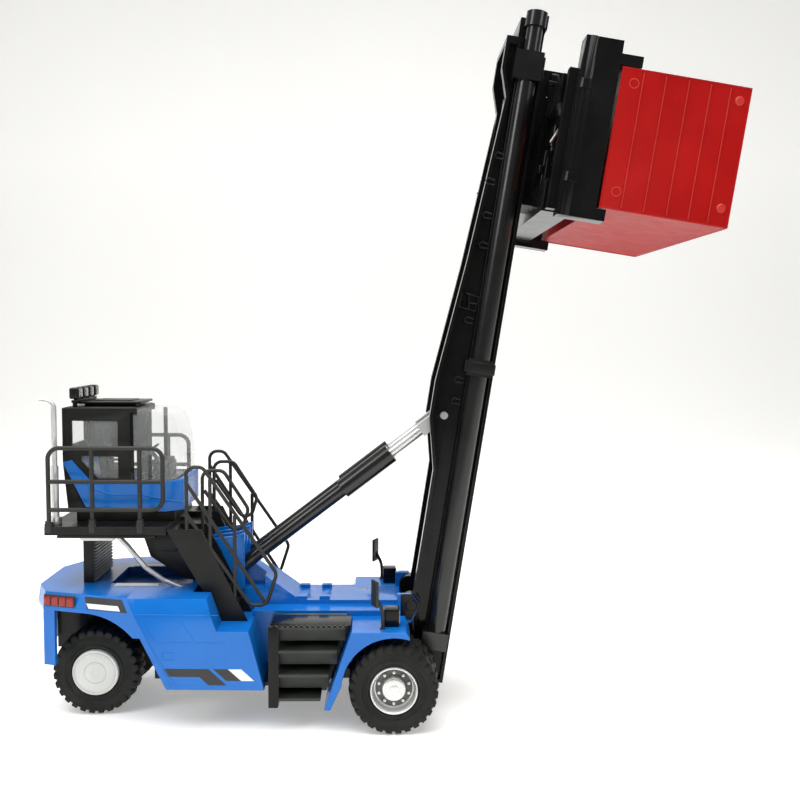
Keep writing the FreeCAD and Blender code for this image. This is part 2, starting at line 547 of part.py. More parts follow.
def make_handrails():
    outer = [("hand_rear", "stair_top - 4 * wall"), ("hand_rear", "hand_top"), ("hand_crest", "hand_top"),
             ("hand_knee", "hand_knee_z"), ("hand_toe", "hand_toe_z"), ("hand_heel", "hand_toe_z"),
             ("hand_rear", "hand_heel_z")]
    grip = [("grip_rear", "stair_top - 3 * wall"), ("grip_rear", "grip_top"), ("grip_crest", "grip_top"),
            ("grip_knee", "grip_knee_z"), ("grip_toe", "grip_toe_z"), ("grip_heel", "grip_heel_z")]
    middle = [("hand_rear", "hand_mid_z"), ("hand_mid_foot", "hand_mid_foot_z")]
    posts = [[("post_a", "post_a_foot"), ("post_a", "post_a_top")],
             [("post_b", "post_b_foot"), ("post_b", "post_b_top")]]
    outer_y = "stair_outer - hand_radius"
    bars = [shaped("bar", bent_rod(outer, "hand_radius", "hand_bend", outer_y)),
            shaped("bar", bent_rod(middle, "hand_radius", "hand_bend", outer_y))]
    bars += [shaped("bar", bent_rod(post, "hand_radius", "hand_bend", outer_y)) for post in posts]
    inside = shaped("bar", bent_rod(grip, "hand_radius", "hand_bend", "stair_inner + hand_radius"))
    rails = [fuse(*bars), inside]
    sub_part("handrails_l", *rails)
    sub_part("handrails_r", *[mirrored(rail) for rail in rails])


def make_platform():
    deck = box(("deck_rear", "deck_front"), ("-deck_half", "deck_half"),
               ("deck_plate_z - deck_plate_thick", "deck_plate_z"))
    sub_part("platform_deck", deck)
    bottom = "deck_plate_z - wall"
    loop = [("rail_rear", bottom), ("rail_rear", "rail_top"), ("rail_nose", "rail_top"),
            ("rail_nose", "rail_low"),
            ("rail_rear", "rail_low")]
    bars = [shaped("bar", bent_rod(loop, "rail_radius", "rail_bend", "rail_y")),
            rod("X", "rail_radius", "rail_nose - rail_rear", "rail_rear", "rail_y", "rail_mid")]
    for x in ("rail_post_a", "rail_post_b"):
        bars.append(rod("Z", "rail_radius", f"rail_top - ({bottom})", x, "rail_y", bottom))
        bars.append(rod("Z", "1.6 * rail_radius", "2 * wall", x, "rail_y", "deck_plate_z"))
    railing = fuse(*bars)
    sub_part("platform_railing_l", railing)
    sub_part("platform_railing_r", mirrored(railing))
    sub_part("cab_column", box(("column_rear", "column_front"), ("-column_half", "column_half"),
                               ("deck_z", "cap_z")))
    sub_part("column_cap", box(("column_rear - wall / 2", "cap_front"),
                               ("-column_half - wall", "column_half + wall"),
                               ("cap_z", "cap_z + cap_thick")),
             box(("column_rear", "cap_front - wall"), ("-column_half", "column_half"),
                 ("cap_z + cap_thick", "deck_plate_z - deck_plate_thick")))
    route = [("brace_head", "deck_plate_z - deck_plate_thick"), ("brace_knee", "brace_knee_z"),
             ("brace_waist", "brace_waist_z"), ("brace_ankle", "brace_ankle_z"),
             ("brace_foot", "deck_z - wall")]
    brace = bent_rod(route, "brace_radius", "brace_bend", "brace_y")
    sub_part("brace_pipes", *pair(shaped("brace", brace)))


def make_exhaust():
    route = [("exhaust_x", "deck_plate_z"), ("exhaust_x", "exhaust_top"),
             ("exhaust_tip", "exhaust_top + wall / 2")]
    pipe = shaped("pipe", bent_rod(route, "exhaust_radius", "exhaust_bend", "exhaust_y"))
    sleeve = rod("Z", "exhaust_sleeve", "exhaust_split - deck_plate_z", "exhaust_x", "exhaust_y",
                 "deck_plate_z")
    flange = rod("Z", "exhaust_sleeve + skin", "2 * wall", "exhaust_x", "exhaust_y", "deck_plate_z")
    sub_part("exhaust_pipe", fuse(pipe, sleeve, flange))


# ---------------------------------------------------------------- cab

def make_cab():
    shell_side = [("cab_rear", "cab_quarter_z - skin"), ("cab_quarter", "cab_quarter_z"),
                  ("cab_hip - 2 * skin", "cab_sill + 2 * skin"),
                  ("cab_hip", "cab_sill"), ("cab_brow", "cab_sill"), ("cab_front", "cab_nose_sill"),
                  ("cab_front", "cab_foot + skin"), ("cab_chin", "cab_foot"),
                  ("cab_heel", "cab_foot + 2 * skin")]
    hollow = box(("cab_heel + 2 * skin", "cab_front - 2 * skin"),
                 ("2 * skin - cab_half", "cab_half - 2 * skin"),
                 ("cab_foot + 2 * skin", "cab_roof"))
    sub_part("cab_shell", cut(side_plate(shell_side, "-cab_half", "cab_half"), hollow))
    frame_side = [("cab_rear", "cab_quarter_z - skin"), ("cab_quarter", "cab_quarter_z"),
                  ("cab_hip - 2 * skin", "cab_sill + 2 * skin"),
                  ("cab_hip", "cab_sill"), ("pillar_front", "cab_sill"),
                  ("pillar_front", "cab_roof - 2 * wall"),
                  ("roof_front", "cab_roof - 2 * wall"), ("roof_front", "cab_roof"),
                  ("cab_rear", "cab_roof")]
    inside = box(("cab_rear + wall", "0"), ("2 * skin - cab_half", "cab_half - 2 * skin"),
                 ("cab_foot", "cab_roof - wall"))
    upper = box(("window_rear", "pillar_rear"), ("-2 * cab_half", "2 * cab_half"),
                ("window_foot", "window_top"))
    lower_side = [("light_rear", "light_top"), ("light_rear", "light_top - 2 * skin"),
                  ("cab_hip + 2 * skin", "cab_sill + 2 * skin"),
                  ("pillar_rear", "cab_sill + 2 * skin"), ("pillar_rear", "light_top")]
    rear = box(("2 * cab_rear", "cab_rear + 4 * wall"), ("4 * skin - cab_half", "cab_half - 4 * skin"),
               ("window_foot", "window_top"))
    frame = cut(side_plate(frame_side, "skin / 4 - cab_half", "cab_half - skin / 4"), inside, upper,
                side_plate(lower_side, "-2 * cab_half", "2 * cab_half"), rear)
    pane_y = ("cab_half - 1.5 * skin", "cab_half - skin")
    panes = pair(box(("window_rear", "pillar_rear"), pane_y, ("window_foot", "window_top")))
    panes += pair(side_plate(lower_side, *pane_y))
    panes.append(box(("cab_rear + skin / 2", "cab_rear + skin"),
                     ("4 * skin - cab_half", "cab_half - 4 * skin"),
                     ("window_foot", "window_top")))
    base = box(("cab_heel - 4 * skin", "cab_front - 4 * skin"), ("skin - cab_half", "cab_half - skin"),
               ("deck_plate_z", "cab_foot"))
    back_side = [("cab_rear", "cab_quarter_z - skin"), ("cab_rear + 2 * skin", "cab_foot"),
                 ("cab_heel", "cab_foot"),
                 ("cab_heel - skin / 2", "cab_foot + 2 * skin")]
    back = side_plate(back_side, "skin / 4 - cab_half", "cab_half - skin / 4")
    sub_part("cab_frame", frame, base, back)
    glass_side = [("pillar_front", "cab_sill"), ("cab_brow", "cab_sill"), ("cab_front", "cab_nose_sill"),
                  ("glass_brow + wall", "window_top - 3 * wall"),
                  ("glass_brow", "glass_brow_z"),
                  ("roof_front", "cab_roof"),
                  ("roof_front", "cab_roof - 2 * wall"), ("pillar_front", "cab_roof - 2 * wall")]
    room = box(("cab_rear", "glass_brow - wall"), ("skin - cab_half", "cab_half - skin"),
               ("cab_sill - wall", "cab_roof - 2 * wall"))
    sub_part("cab_glazing", cut(side_plate(glass_side, "skin / 2 - cab_half", "cab_half - skin / 2"), room),
             *panes)
    cushion = box(("seat_x", "seat_x + seat_length"), ("-seat_half", "seat_half"),
                  ("cab_foot + 2 * skin", "seat_z + 2 * wall"))
    backrest = box(("seat_x", "seat_x + 2 * wall"), ("-seat_half", "seat_half"), ("seat_z", "seat_back"))
    sub_part("cab_seat", fuse(cushion, backrest))
    desk = box(("console_x", "console_x + 5 * wall"), ("-1.4 * seat_half", "1.4 * seat_half"),
               ("cab_foot + 2 * skin", "console_top"))
    wheel = rod("Z", "3 * wall", "skin", "console_x - wall", 0, "console_top + wall")
    column = rod("Z", "skin", "3 * wall", "console_x + skin", 0, "console_top - wall")
    sub_part("control_console", fuse(desk, wheel, column))
    sub_part("roof_hatch", box(("hatch_rear", "hatch_front"), ("-hatch_half", "hatch_half"),
                               ("hatch_z", "hatch_z + wall")),
             box(("hatch_rear + 2 * wall", "hatch_front - 2 * wall"),
                 ("2 * wall - hatch_half", "hatch_half - 2 * wall"),
                 ("cab_roof", "hatch_z")))
    make_roof_lamps()


def make_roof_lamps():
    bar = box(("lampbar_x - skin", "lampbar_x + skin"), ("-2 * lampbar_pitch", "2 * lampbar_pitch"),
              ("lampbar_z - wall", "lampbar_z"))
    feet = pair(box(("lampbar_x - skin", "lampbar_x + skin"),
                    ("1.6 * lampbar_pitch", "1.6 * lampbar_pitch + skin"),
                    ("lampbar_foot", "lampbar_z")))
    lamps = [box(("lampbar_x - lampbar_lamp / 2", "lampbar_x + lampbar_lamp / 2"),
                 (f"{place} * lampbar_pitch - lampbar_lamp / 2",
                  f"{place} * lampbar_pitch + lampbar_lamp / 2"),
                 ("lampbar_z", "lampbar_z + lampbar_lamp")) for place in LAMP_PLACES]
    sub_part("roof_lamps", fuse(bar, *feet, *lamps))


# ---------------------------------------------------------------- wheels

def tyre(width):
    """A tyre about Y that starts at Y = 0, with rounded shoulders cut as flats."""
    half_tread = "wheel_radius - shoulder"
    return turned([("rim_radius", "0"), (half_tread, "0"), ("wheel_radius", "shoulder"),
                   ("wheel_radius", f"{width} - shoulder"),
                   (half_tread, width), ("rim_radius", width)])


def make_front_wheels():
    second = "outer_tyre_face - 2 * tyre_width - tyre_gap"
    first = "outer_tyre_face - tyre_width"
    bore = "shaft_radius + fit"
    rim_points = [(bore, f"{second} + wall"), ("cap_radius", f"{second} + wall"),
                  ("rim_radius - fit", f"{second}"),
                  ("rim_radius - fit", "outer_tyre_face + gap"),
                  ("rim_radius - skin", "outer_tyre_face + gap"),
                  ("rim_radius - 2 * skin", "outer_tyre_face - rim_dish"),
                  ("cap_radius", "outer_tyre_face - rim_dish"),
                  ("cap_radius - skin", "outer_tyre_face - rim_dish + 2 * skin"),
                  (bore, "outer_tyre_face - rim_dish + 2 * skin")]
    hub = put(turned(rim_points), 0, 0, "wheel_radius")
    outer = put(tyre("tyre_width"), 0, first, "wheel_radius")
    inner = put(tyre("tyre_width"), 0, second, "wheel_radius")
    for side, turn in (("l", lambda item: item), ("r", mirrored)):
        sub_part(f"front_rim_{side}", turn(hub))
        sub_part(f"front_tyre_outer_{side}", turn(outer))
        sub_part(f"front_tyre_inner_{side}", turn(inner))


def make_rear_wheels():
    inner_face = "rear_tyre_face - rear_tyre_width"
    rubber = put(tyre("rear_tyre_width"), REAR_AXLE, inner_face, "wheel_radius")
    bore = "shaft_radius + fit"
    web = "rear_tyre_face - rim_web"
    rim_points = [(bore, "king_y + fork_reach + fork_gap"),
                  ("2 * shaft_radius", "king_y + fork_reach + fork_gap"),
                  ("2 * shaft_radius", f"{web} - wall"), ("rim_well", f"{web} - wall"), ("rim_well",
                                                                                         inner_face),
                  ("rim_radius - fit", inner_face),
                  ("rim_radius - fit", "rear_tyre_face + rear_disc_proud"),
                  ("0", "rear_tyre_face + rear_disc_proud"), ("0", f"{web} + wall / 2"), (bore,
                                                                                          f"{web} + wall / 2")]
    rim = put(turned(rim_points), REAR_AXLE, 0, "wheel_radius")
    for side, turn in (("l", lambda item: item), ("r", mirrored)):
        sub_part(f"rear_tyre_{side}", turn(rubber))
        sub_part(f"rear_rim_{side}", turn(rim))


def make_steering():
    beam_z = ("wheel_radius - beam_thick", "wheel_radius + beam_thick")
    beam = box((f"{REAR_AXLE} - beam_half", f"{REAR_AXLE} + beam_half"), ("-king_y", "king_y"), beam_z)
    ends = [rod("Z", "beam_half", "2 * beam_thick", REAR_AXLE, f"{side} * king_y",
                beam_z[0]) for side in (-1, 1)]
    holes = [rod("Z", "king_radius", "4 * beam_thick", REAR_AXLE, f"{side} * king_y",
                 "wheel_radius - 2 * beam_thick")
             for side in (-1, 1)]
    sub_part("rear_axle_beam", cut(fuse(beam, *ends), *holes))
    king_length = "2 * (beam_thick + fork_gap + fork_thick)"
    king_foot = f"wheel_radius - {king_length} / 2"
    sub_part("kingpins", *pair(rod("Z", "king_radius", king_length, REAR_AXLE, "king_y", king_foot)))
    fork_outer = "beam_thick + fork_gap + fork_thick"
    leaves = []
    for foot in (f"wheel_radius - ({fork_outer})", "wheel_radius + beam_thick + fork_gap"):
        leaves.append(rod("Z", "fork_radius", "fork_thick", REAR_AXLE, "king_y", foot))
        leaves.append(box((f"{REAR_AXLE} - fork_radius", f"{REAR_AXLE} + fork_radius"),
                          ("king_y", "king_y + fork_reach"),
                          (foot, f"{foot} + fork_thick")))
    bridge = box((f"{REAR_AXLE} - fork_radius", f"{REAR_AXLE} + fork_radius"),
                 ("king_y + beam_half + fork_gap", "king_y + fork_reach"),
                 (f"wheel_radius - ({fork_outer})", f"wheel_radius + {fork_outer}"))
    stub = rod("Y", "shaft_radius", "rear_tyre_face - rim_web - king_y - fork_reach", REAR_AXLE,
               "king_y + fork_reach", "wheel_radius")
    arm_z = f"wheel_radius - ({fork_outer})"
    ball_x = f"{REAR_AXLE} + arm_reach"
    arm = box((REAR_AXLE, f"{ball_x} + tie_half"), ("king_y - skin", "king_y + skin"),
              (arm_z, f"{arm_z} + skin"))
    ball = rod("Z", "ball_radius", "tie_thick + 2 * gap", ball_x, "king_y",
               f"{arm_z} - tie_thick - 2 * gap")
    bore = rod("Z", "king_radius + fit", "6 * beam_thick", REAR_AXLE, "king_y",
               "wheel_radius - 3 * beam_thick")
    knuckle = cut(fuse(*leaves, bridge, stub, arm, ball), bore)
    sub_part("knuckle_l", knuckle)
    sub_part("knuckle_r", mirrored(knuckle))
    tie_top = f"{arm_z} - gap"
    bar = box((f"{ball_x} - tie_half", f"{ball_x} + tie_half"), ("-king_y - tie_half", "king_y + tie_half"),
              (f"{tie_top} - tie_thick", tie_top))
    slots = pair(box((f"{ball_x} - ball_radius - gap", f"{ball_x} + ball_radius + gap"),
                     ("king_y - ball_radius - 2 * fit", "king_y + ball_radius + 2 * fit"),
                     (f"{tie_top} - 2 * tie_thick", f"{tie_top} + tie_thick")))
    sub_part("tie_rod", cut(bar, *slots))


# ---------------------------------------------------------------- mast, in its own frame

def mast_outline(inset):
    """The uprights' side outline, inset all round by a thickness."""
    rear, front = f"+ {inset}", f"- {inset}"
    return [(f"mast_toe {rear}", f"mast_foot {rear}"), (f"mast_front {front}", f"mast_foot {rear}"),
            (f"mast_front {front}", f"mast_shoulder {front}"),
            (f"mast_head_front {front}", f"mast_shoulder {front}"),
            (f"mast_head_front {front}", f"mast_top {front}"),
            (f"mast_head_rear {rear}", f"mast_top {front}"),
            (f"mast_head_rear {rear}", "mast_head_foot"), (f"mast_neck {rear}", "mast_neck_z"),
            (f"mast_back {rear}", "mast_back_top"), (f"mast_belly {rear}", "mast_belly_top"),
            (f"mast_belly {rear}", "mast_belly_foot"), (f"mast_back {rear}", "mast_belly_start"),
            (f"mast_back {rear}", "mast_heel_z")]


def make_outer_mast():
    upright = cut(side_plate(mast_outline("0"), "web_inner", "flange_outer"),
                  side_plate(mast_outline("wall"), "web_inner + wall", "flange_outer + wall"))
    lips = [box(("channel_rear", "channel_rear + channel_lip"), ("channel_inner", "web_inner"),
                ("mast_foot", "mast_neck_z")),
            box(("mast_front - channel_lip", "mast_front"), ("channel_inner", "web_inner"),
                ("mast_foot", "mast_shoulder"))]
    lug = rod("Y", "foot_lug", "flange_outer - web_inner", 0, "web_inner", 0)
    uprights = pair(fuse(upright, *lips, lug))
    span = ("-web_inner", "web_inner")
    crosses = [box(("mast_head_rear", "channel_rear + channel_lip"), ("-flange_outer", "flange_outer"),
                   ("mast_top - cross_height / 2", "mast_top")),
               box(("channel_rear - wall", "channel_rear + channel_lip"), span,
                   ("cross_mid", "cross_mid + cross_height")),
               box(("channel_rear - wall", "channel_rear + channel_lip"), span,
                   ("cross_low", "cross_low + 2 * cross_height")),
               box(("mast_toe", "mast_front"), span, ("mast_foot", "mast_foot + cross_height"))]
    tubes = pair(rod("Z", "tube_radius", "mast_top - tube_foot", "tube_x", "tube_y", "tube_foot"))
    blocks = pair(box(("block_rear", "mast_front - wall"), ("web_inner + wall", "clamp_outer"),
                      ("block_foot", "block_top")))
    pins = [rod("Y", "pin_radius + fit", "4 * flange_outer", 0, "-2 * flange_outer", 0),
            rod("Y", "pin_radius", "4 * flange_outer", "tilt_pin_x", "-2 * flange_outer", "tilt_pin_z")]
    sub_part("outer_mast", cut(fuse(*uprights, *crosses), *pins, *tubes, *blocks), frame="mast")
    pin = rod("Y", "pin_radius", "flange_outer + skin - cheek_inner", "tilt_pin_x", "cheek_inner",
              "tilt_pin_z")
    sub_part("tilt_mast_pins", *pair(pin), frame="mast")


def make_lift_cylinders():
    web_face = "web_inner + wall"
    tube = rod("Z", "tube_radius", "block_foot - tube_foot", "tube_x", "tube_y", "tube_foot")
    shoe = box(("shoe_rear", "mast_front - wall"), (web_face, "shoe_outer"), ("shoe_foot", "tube_foot"))
    clamp = box(("clamp_rear", "mast_front - wall"), (web_face, "clamp_outer"),
                ("clamp_foot", "clamp_foot + clamp_height"))
    block = box(("block_rear", "mast_front - wall"), (web_face, "clamp_outer"), ("block_foot", "block_top"))
    bore = rod("Z", "tube_bore", "block_top - tube_foot", "tube_x", "tube_y", "tube_foot + wall")
    sub_part("lift_tubes", *pair(cut(fuse(tube, shoe, clamp, block), bore)), frame="mast")
    ram = rod("Z", "rod_radius", "rod_cap_foot - rod_foot", "tube_x", "tube_y", "rod_foot")
    cap = rod("Z", "rod_cap_radius", "rod_cap_top - rod_cap_foot", "tube_x", "tube_y", "rod_cap_foot")
    ear = box(("tube_x", "inner_front"), ("inner_outer", "tube_y"), ("rod_cap_foot", "inner_top"))
    sub_part("lift_rods", *pair(fuse(ram, cap, ear)), frame="mast")


def make_inner_mast():
    height = ("inner_foot", "inner_top")
    rail = fuse(box(("inner_rear", "inner_front"), ("inner_web", "inner_outer"), height),
                box(("inner_rear", "inner_rear + inner_flange"), ("inner_lip", "inner_outer"), height),
                box(("inner_front - inner_flange", "inner_front"), ("inner_lip", "inner_outer"), height))
    levels = ("inner_foot", "cross_mid - 6 * cross_height", "inner_top - cross_height")
    bars = [box(("inner_rear", "inner_rear + inner_flange"), ("-inner_outer", "inner_outer"),
                (z, f"{z} + cross_height"))
            for z in levels]
    sub_part("inner_mast", fuse(*pair(rail), *bars), frame="mast")


# ---------------------------------------------------------------- tilt cylinders, in their own frame

def make_tilt_cylinders():
    barrel = rod("X", "barrel_radius", "sleeve_start - barrel_start", "barrel_start", "tilt_y", 0)
    sleeve = rod("X", "sleeve_radius", "sleeve_end - sleeve_start", "sleeve_start", "tilt_y", 0)
    eye = rod("Y", "eye_radius", "2 * eye_half", 0, "tilt_y - eye_half", 0)
    bore = rod("X", "barrel_bore", "sleeve_end", "bore_start", "tilt_y", 0)
    hole = rod("Y", "pin_radius + fit", "4 * eye_half", 0, "tilt_y - 2 * eye_half", 0)
    sub_part("tilt_barrels", *pair(cut(fuse(barrel, sleeve, eye), bore, hole)), frame="tilt")
    end = f"({TILT_LENGTH})"
    ram = rod("X", "ram_radius", f"{end} - clevis_start - ram_start", "ram_start", "tilt_y", 0)
    fork = box((f"{end} - clevis_start", end), ("tilt_y - eye_half", "tilt_y + eye_half"),
               ("-clevis_half", "clevis_half"))
    head = rod("Y", "eye_radius", "2 * eye_half", end, "tilt_y - eye_half", 0)
    pin_hole = rod("Y", "pin_radius + fit", "4 * eye_half", end, "tilt_y - 2 * eye_half", 0)
    sub_part("tilt_rods", *pair(cut(fuse(ram, fork, head), pin_hole)), frame="tilt")
    base_pin = rod("Y", "pin_radius", "cheek_outer + 2 * cheek_thick - cheek_inner", "tilt_base_x",
                   "cheek_inner - cheek_thick", "tilt_base_z")
    sub_part("tilt_base_pins", *pair(base_pin))
    foot_pin = rod("Y", "pin_radius", "lug_outer + skin - web_inner", "mast_pivot_x", "web_inner",
                   "mast_pivot_z")
    sub_part("mast_foot_pins", *pair(foot_pin))


# ---------------------------------------------------------------- carriage, spreader and container

def make_carriage():
    side = [("roller_x - roller_radius", "carriage_foot"), ("plate_front", "carriage_foot"),
            ("plate_front", "hook_foot"),
            ("roller_x - roller_radius", "hook_foot")]
    cheeks = pair(side_plate(side, "carriage_inner", "carriage_outer"))
    plate = box(("plate_rear", "plate_front"), ("-plate_half", "plate_half"),
                ("carriage_foot", "carriage_head"))
    hooks = pair(box(("plate_rear", "hook_front"), ("carriage_outer", "plate_half"),
                     ("hook_foot", "carriage_head")))
    rollers = [roller for z in ("roller_low", "roller_high")
               for roller in pair(rod("Y", "roller_radius", "roller_outer - carriage_outer", "roller_x",
                                      "carriage_outer", z))]
    sub_part("carriage", fuse(*cheeks, plate, *hooks, *rollers), frame="mast")
    sleeves = []
    for front, foot, top in (("upper_beam_front", "upper_beam_foot", "upper_beam_top"),
                             ("lower_beam_front", "lower_beam_foot", "lower_beam_top")):
        tube = box(("beam_rear", front), ("-beam_end", "beam_end"), (foot, top))
        hole = box(("beam_rear + beam_wall", f"{front} - beam_wall"), ("-2 * beam_end", "2 * beam_end"),
                   (f"{foot} + beam_wall", f"{top} - beam_wall"))
        sleeves.append(cut(tube, hole))
    stays = pair(box(("beam_rear", "upper_beam_front"), ("plate_half", "plate_half + 2 * wall"),
                     ("lower_beam_top", "upper_beam_foot")))
    sub_part("spreader_beam", fuse(*sleeves, *stays), frame="mast")


def make_spreader_arms():
    inset = "(beam_wall + gap)"
    slides = [box((f"beam_rear + {inset}", f"{front} - {inset}"), ("arm_start", "post_side + skin"),
                  (f"{foot} + {inset}", f"{top} - {inset}"))
              for front, foot, top in (("upper_beam_front", "upper_beam_foot", "upper_beam_top"),
                                       ("lower_beam_front", "lower_beam_foot", "lower_beam_top"))]
    post = box(("post_rear", "post_front"), ("post_side", "post_face"), ("post_foot_z", "post_top_z"))
    bridge = box(("beam_rear + 2 * gap", "post_front"), ("post_side", "post_side + 3 * wall"),
                 ("lower_beam_foot", "upper_beam_top"))
    claw = box(("post_front - wall", "claw_front"), ("post_side", "post_face"),
               ("box_foot + box_height + gap", "box_foot + box_height + gap + claw_height"))
    toe = box(("post_rear", "toe_front"), ("post_side", "post_face"), ("post_foot_z", "box_foot - gap"))
    column_y = "post_face + column_proud - column_radius"
    column = rod("Z", "column_radius", "post_top_z - post_foot_z", "column_x", column_y, "post_foot_z")
    collars = [rod("Z", "collar_radius", "collar_height", "column_x", column_y, z)
               for z in ("collar_low", "collar_high")]
    arm = fuse(*slides, post, bridge, claw, toe, column, *collars)
    sub_part("spreader_arm_l", arm, frame="mast")
    sub_part("spreader_arm_r", mirrored(arm), frame="mast")


def make_container():
    rear, front = "box_rear", "box_rear + box_width"
    foot, top = "box_foot", "box_foot + box_height"
    half = "box_length / 2"
    block = box((rear, front), (f"-{half}", half), (foot, top))
    hollow = box((f"{rear} + box_wall", f"{front} - box_wall"), (f"-{half} + box_wall + box_recess", half),
                 (f"{foot} + box_wall", f"{top} - box_wall"))
    panel = box((f"{rear} + box_border", f"{front} - box_border"),
                (f"-{half} - skin", f"-{half} + box_recess"),
                (f"{foot} + box_border", f"{top} - box_border"))
    pitch = "(box_width - 2 * box_border) / (box_ribs + 1)"
    ribs = []
    for index in range(int(number("box_ribs"))):
        middle = f"{rear} + box_border + {index + 1} * {pitch}"
        ribs.append(box((f"{middle} - box_rib_width / 2", f"{middle} + box_rib_width / 2"),
                        (f"-{half} + box_recess / 4", f"-{half} + box_recess + box_wall / 2"),
                        (f"{foot} + box_border", f"{top} - box_border")))
    sub_part("container_shell", fuse(cut(block, hollow, panel), *ribs), frame="mast")
    door_y = (f"{half} - door_thick - box_recess", f"{half} - box_recess")
    middle = f"{rear} + box_width / 2"
    leaves = [box((f"{rear} + box_wall", f"{middle} - fit"), door_y,
                  (f"{foot} + box_wall", f"{top} - box_wall")),
              box((f"{middle} + fit", f"{front} - box_wall"), door_y,
                  (f"{foot} + box_wall", f"{top} - box_wall"))]
    bars = [rod("Z", "skin / 2", "box_height - 4 * box_wall", f"{middle} + ({place}) * box_width / 8",
                f"{half} - box_recess",
                f"{foot} + 2 * box_wall") for place in (-3, -1, 1, 3)]
    sub_part("container_doors", fuse(leaves[0], *bars[:2]), fuse(leaves[1], *bars[2:]), frame="mast")


def export_all():
    """Check every object, then write each sub-part's own file."""
    doc.recompute()
    broken = [item.Name for item in doc.Objects if "Invalid" in item.State or "Error" in item.State]
    if broken:
        raise RuntimeError(f"objects in error: {broken}")
    os.makedirs("parts", exist_ok=True)
    for part in sub_parts:
        if part.Shape.isNull() or not part.Shape.isValid():
            raise RuntimeError(f"{part.Label} has no valid shape")
    for part in sub_parts:
        part.Shape.exportStep(f"parts/{part.Label}.step")


chassis_frame = make_chassis()
make_counterweight(chassis_frame)
make_body_shell(chassis_frame)
make_fenders()
make_lamps()
make_mirrors()
make_steps()
make_stairs()
make_handrails()
make_platform()
make_exhaust()
make_cab()
make_front_wheels()
make_rear_wheels()
make_steering()
make_outer_mast()
make_lift_cylinders()
make_inner_mast()
make_tilt_cylinders()
make_carriage()
make_spreader_arms()
make_container()
export_all()
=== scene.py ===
# %% [markdown]
# # A toy container forklift, 1:50
#
# This lesson dresses a finished CAD model of a toy: a die-cast container forklift with a tall
# tilting mast and a red container.  The CAD gives every part its size and place.  Blender adds
# rounded edges, tyre treads, lamps, printed stripes, glass and the finish of each plastic.

# %% Load the CAD model
import json
import math

import bmesh
import bpy
from mathutils import Matrix, Vector


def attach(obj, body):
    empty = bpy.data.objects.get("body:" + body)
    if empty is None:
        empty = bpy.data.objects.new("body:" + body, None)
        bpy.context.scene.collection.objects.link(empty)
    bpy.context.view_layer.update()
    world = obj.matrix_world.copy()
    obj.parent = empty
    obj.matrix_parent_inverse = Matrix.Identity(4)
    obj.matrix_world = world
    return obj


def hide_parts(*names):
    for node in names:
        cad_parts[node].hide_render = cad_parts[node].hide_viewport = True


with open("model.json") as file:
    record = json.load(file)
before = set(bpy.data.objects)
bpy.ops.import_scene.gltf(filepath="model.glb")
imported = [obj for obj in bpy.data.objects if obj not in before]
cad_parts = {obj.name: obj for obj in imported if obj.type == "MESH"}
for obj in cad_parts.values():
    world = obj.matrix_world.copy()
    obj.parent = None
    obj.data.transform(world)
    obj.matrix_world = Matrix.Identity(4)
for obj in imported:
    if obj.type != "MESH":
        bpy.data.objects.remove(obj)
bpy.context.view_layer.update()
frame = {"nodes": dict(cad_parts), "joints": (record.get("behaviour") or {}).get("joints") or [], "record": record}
scene = bpy.context.scene

# %% [markdown]
# ## Two places to work from
#
# A tilted mast is awkward to model in room coordinates.  It is easier to model it upright and
# turn it at the end.  So there are two matrices: one for the truck, measured in millimetres
# from the floor under the front axle, and one for the mast, measured from its foot pins.  The
# joints of the CAD model say where each of them stands.

# %% Matrices for the truck and the mast
MILLIMETRE = 0.001
ACROSS = Vector((0, 1, 0))
joints = {joint["name"]: joint for joint in frame["joints"]}


def standing(origin, forward):
    """The matrix of a millimetre frame with its X along forward and its Y across the truck."""
    forward = Vector(forward).normalized()
    turn = Matrix((forward, ACROSS, forward.cross(ACROSS))).transposed().to_4x4()
    return Matrix.Translation(origin) @ turn @ Matrix.Scale(MILLIMETRE, 4)


def joint_place(name):
    """Where a hinge stands, brought to the middle of the truck."""
    place = Vector(joints[name]["pos_m"])
    place.y = 0
    return place


front_axle = joint_place("front_wheels_spin_l")
rear_axle = joint_place("rear_wheel_spin_l")
WHEEL_RADIUS = front_axle.z / MILLIMETRE
REAR_AXLE_X = (rear_axle.x - front_axle.x) / MILLIMETRE
TRUCK = standing((front_axle.x, 0, 0), (1, 0, 0))
MAST = standing(joint_place("mast_tilt"), joints["container_release"]["axis"])
print("wheelbase:", -REAR_AXLE_X, "mm, wheel radius:", WHEEL_RADIUS, "mm")

# %% [markdown]
# ## The camera
#
# The toy is seen from its right side, almost square on.  The lens is a little longer than a
# normal one, so near and far parts keep their proportions.  The camera stands 0.4 m away at about
# half the toy's height and looks slightly down.

# %% Camera
CAMERA_PLACE = (-7.2, -398.7, 159.3)
CAMERA_PAN, CAMERA_DIP, CAMERA_ROLL = 0.025, 0.0692, 0.006
SENSOR_WIDTH, FOCAL_LENGTH = 36, 41.09175

camera_data = bpy.data.cameras.new("camera")
camera_data.sensor_width = SENSOR_WIDTH
camera_data.lens = FOCAL_LENGTH
camera = bpy.data.objects.new("camera", camera_data)
scene.collection.objects.link(camera)
scene.camera = camera
facing = Vector((math.sin(CAMERA_PAN), math.cos(CAMERA_PAN), -math.tan(CAMERA_DIP)))
camera.location = TRUCK @ Vector(CAMERA_PLACE)
camera.rotation_mode = "QUATERNION"
camera_turn = facing.to_track_quat("-Z", "Y").to_matrix() @ Matrix.Rotation(CAMERA_ROLL, 3, "Z")
camera.rotation_quaternion = camera_turn.to_quaternion()
print("camera at", tuple(camera.location), "with a", FOCAL_LENGTH, "mm lens")

# %% [markdown]
# ## The floor
#
# A product picture of a toy has a seamless pale sweep: a floor that curves up behind the toy, so
# no horizon shows.  A flat grid is extended at its far edge, one short strip at a time, along a
# quarter of a circle.

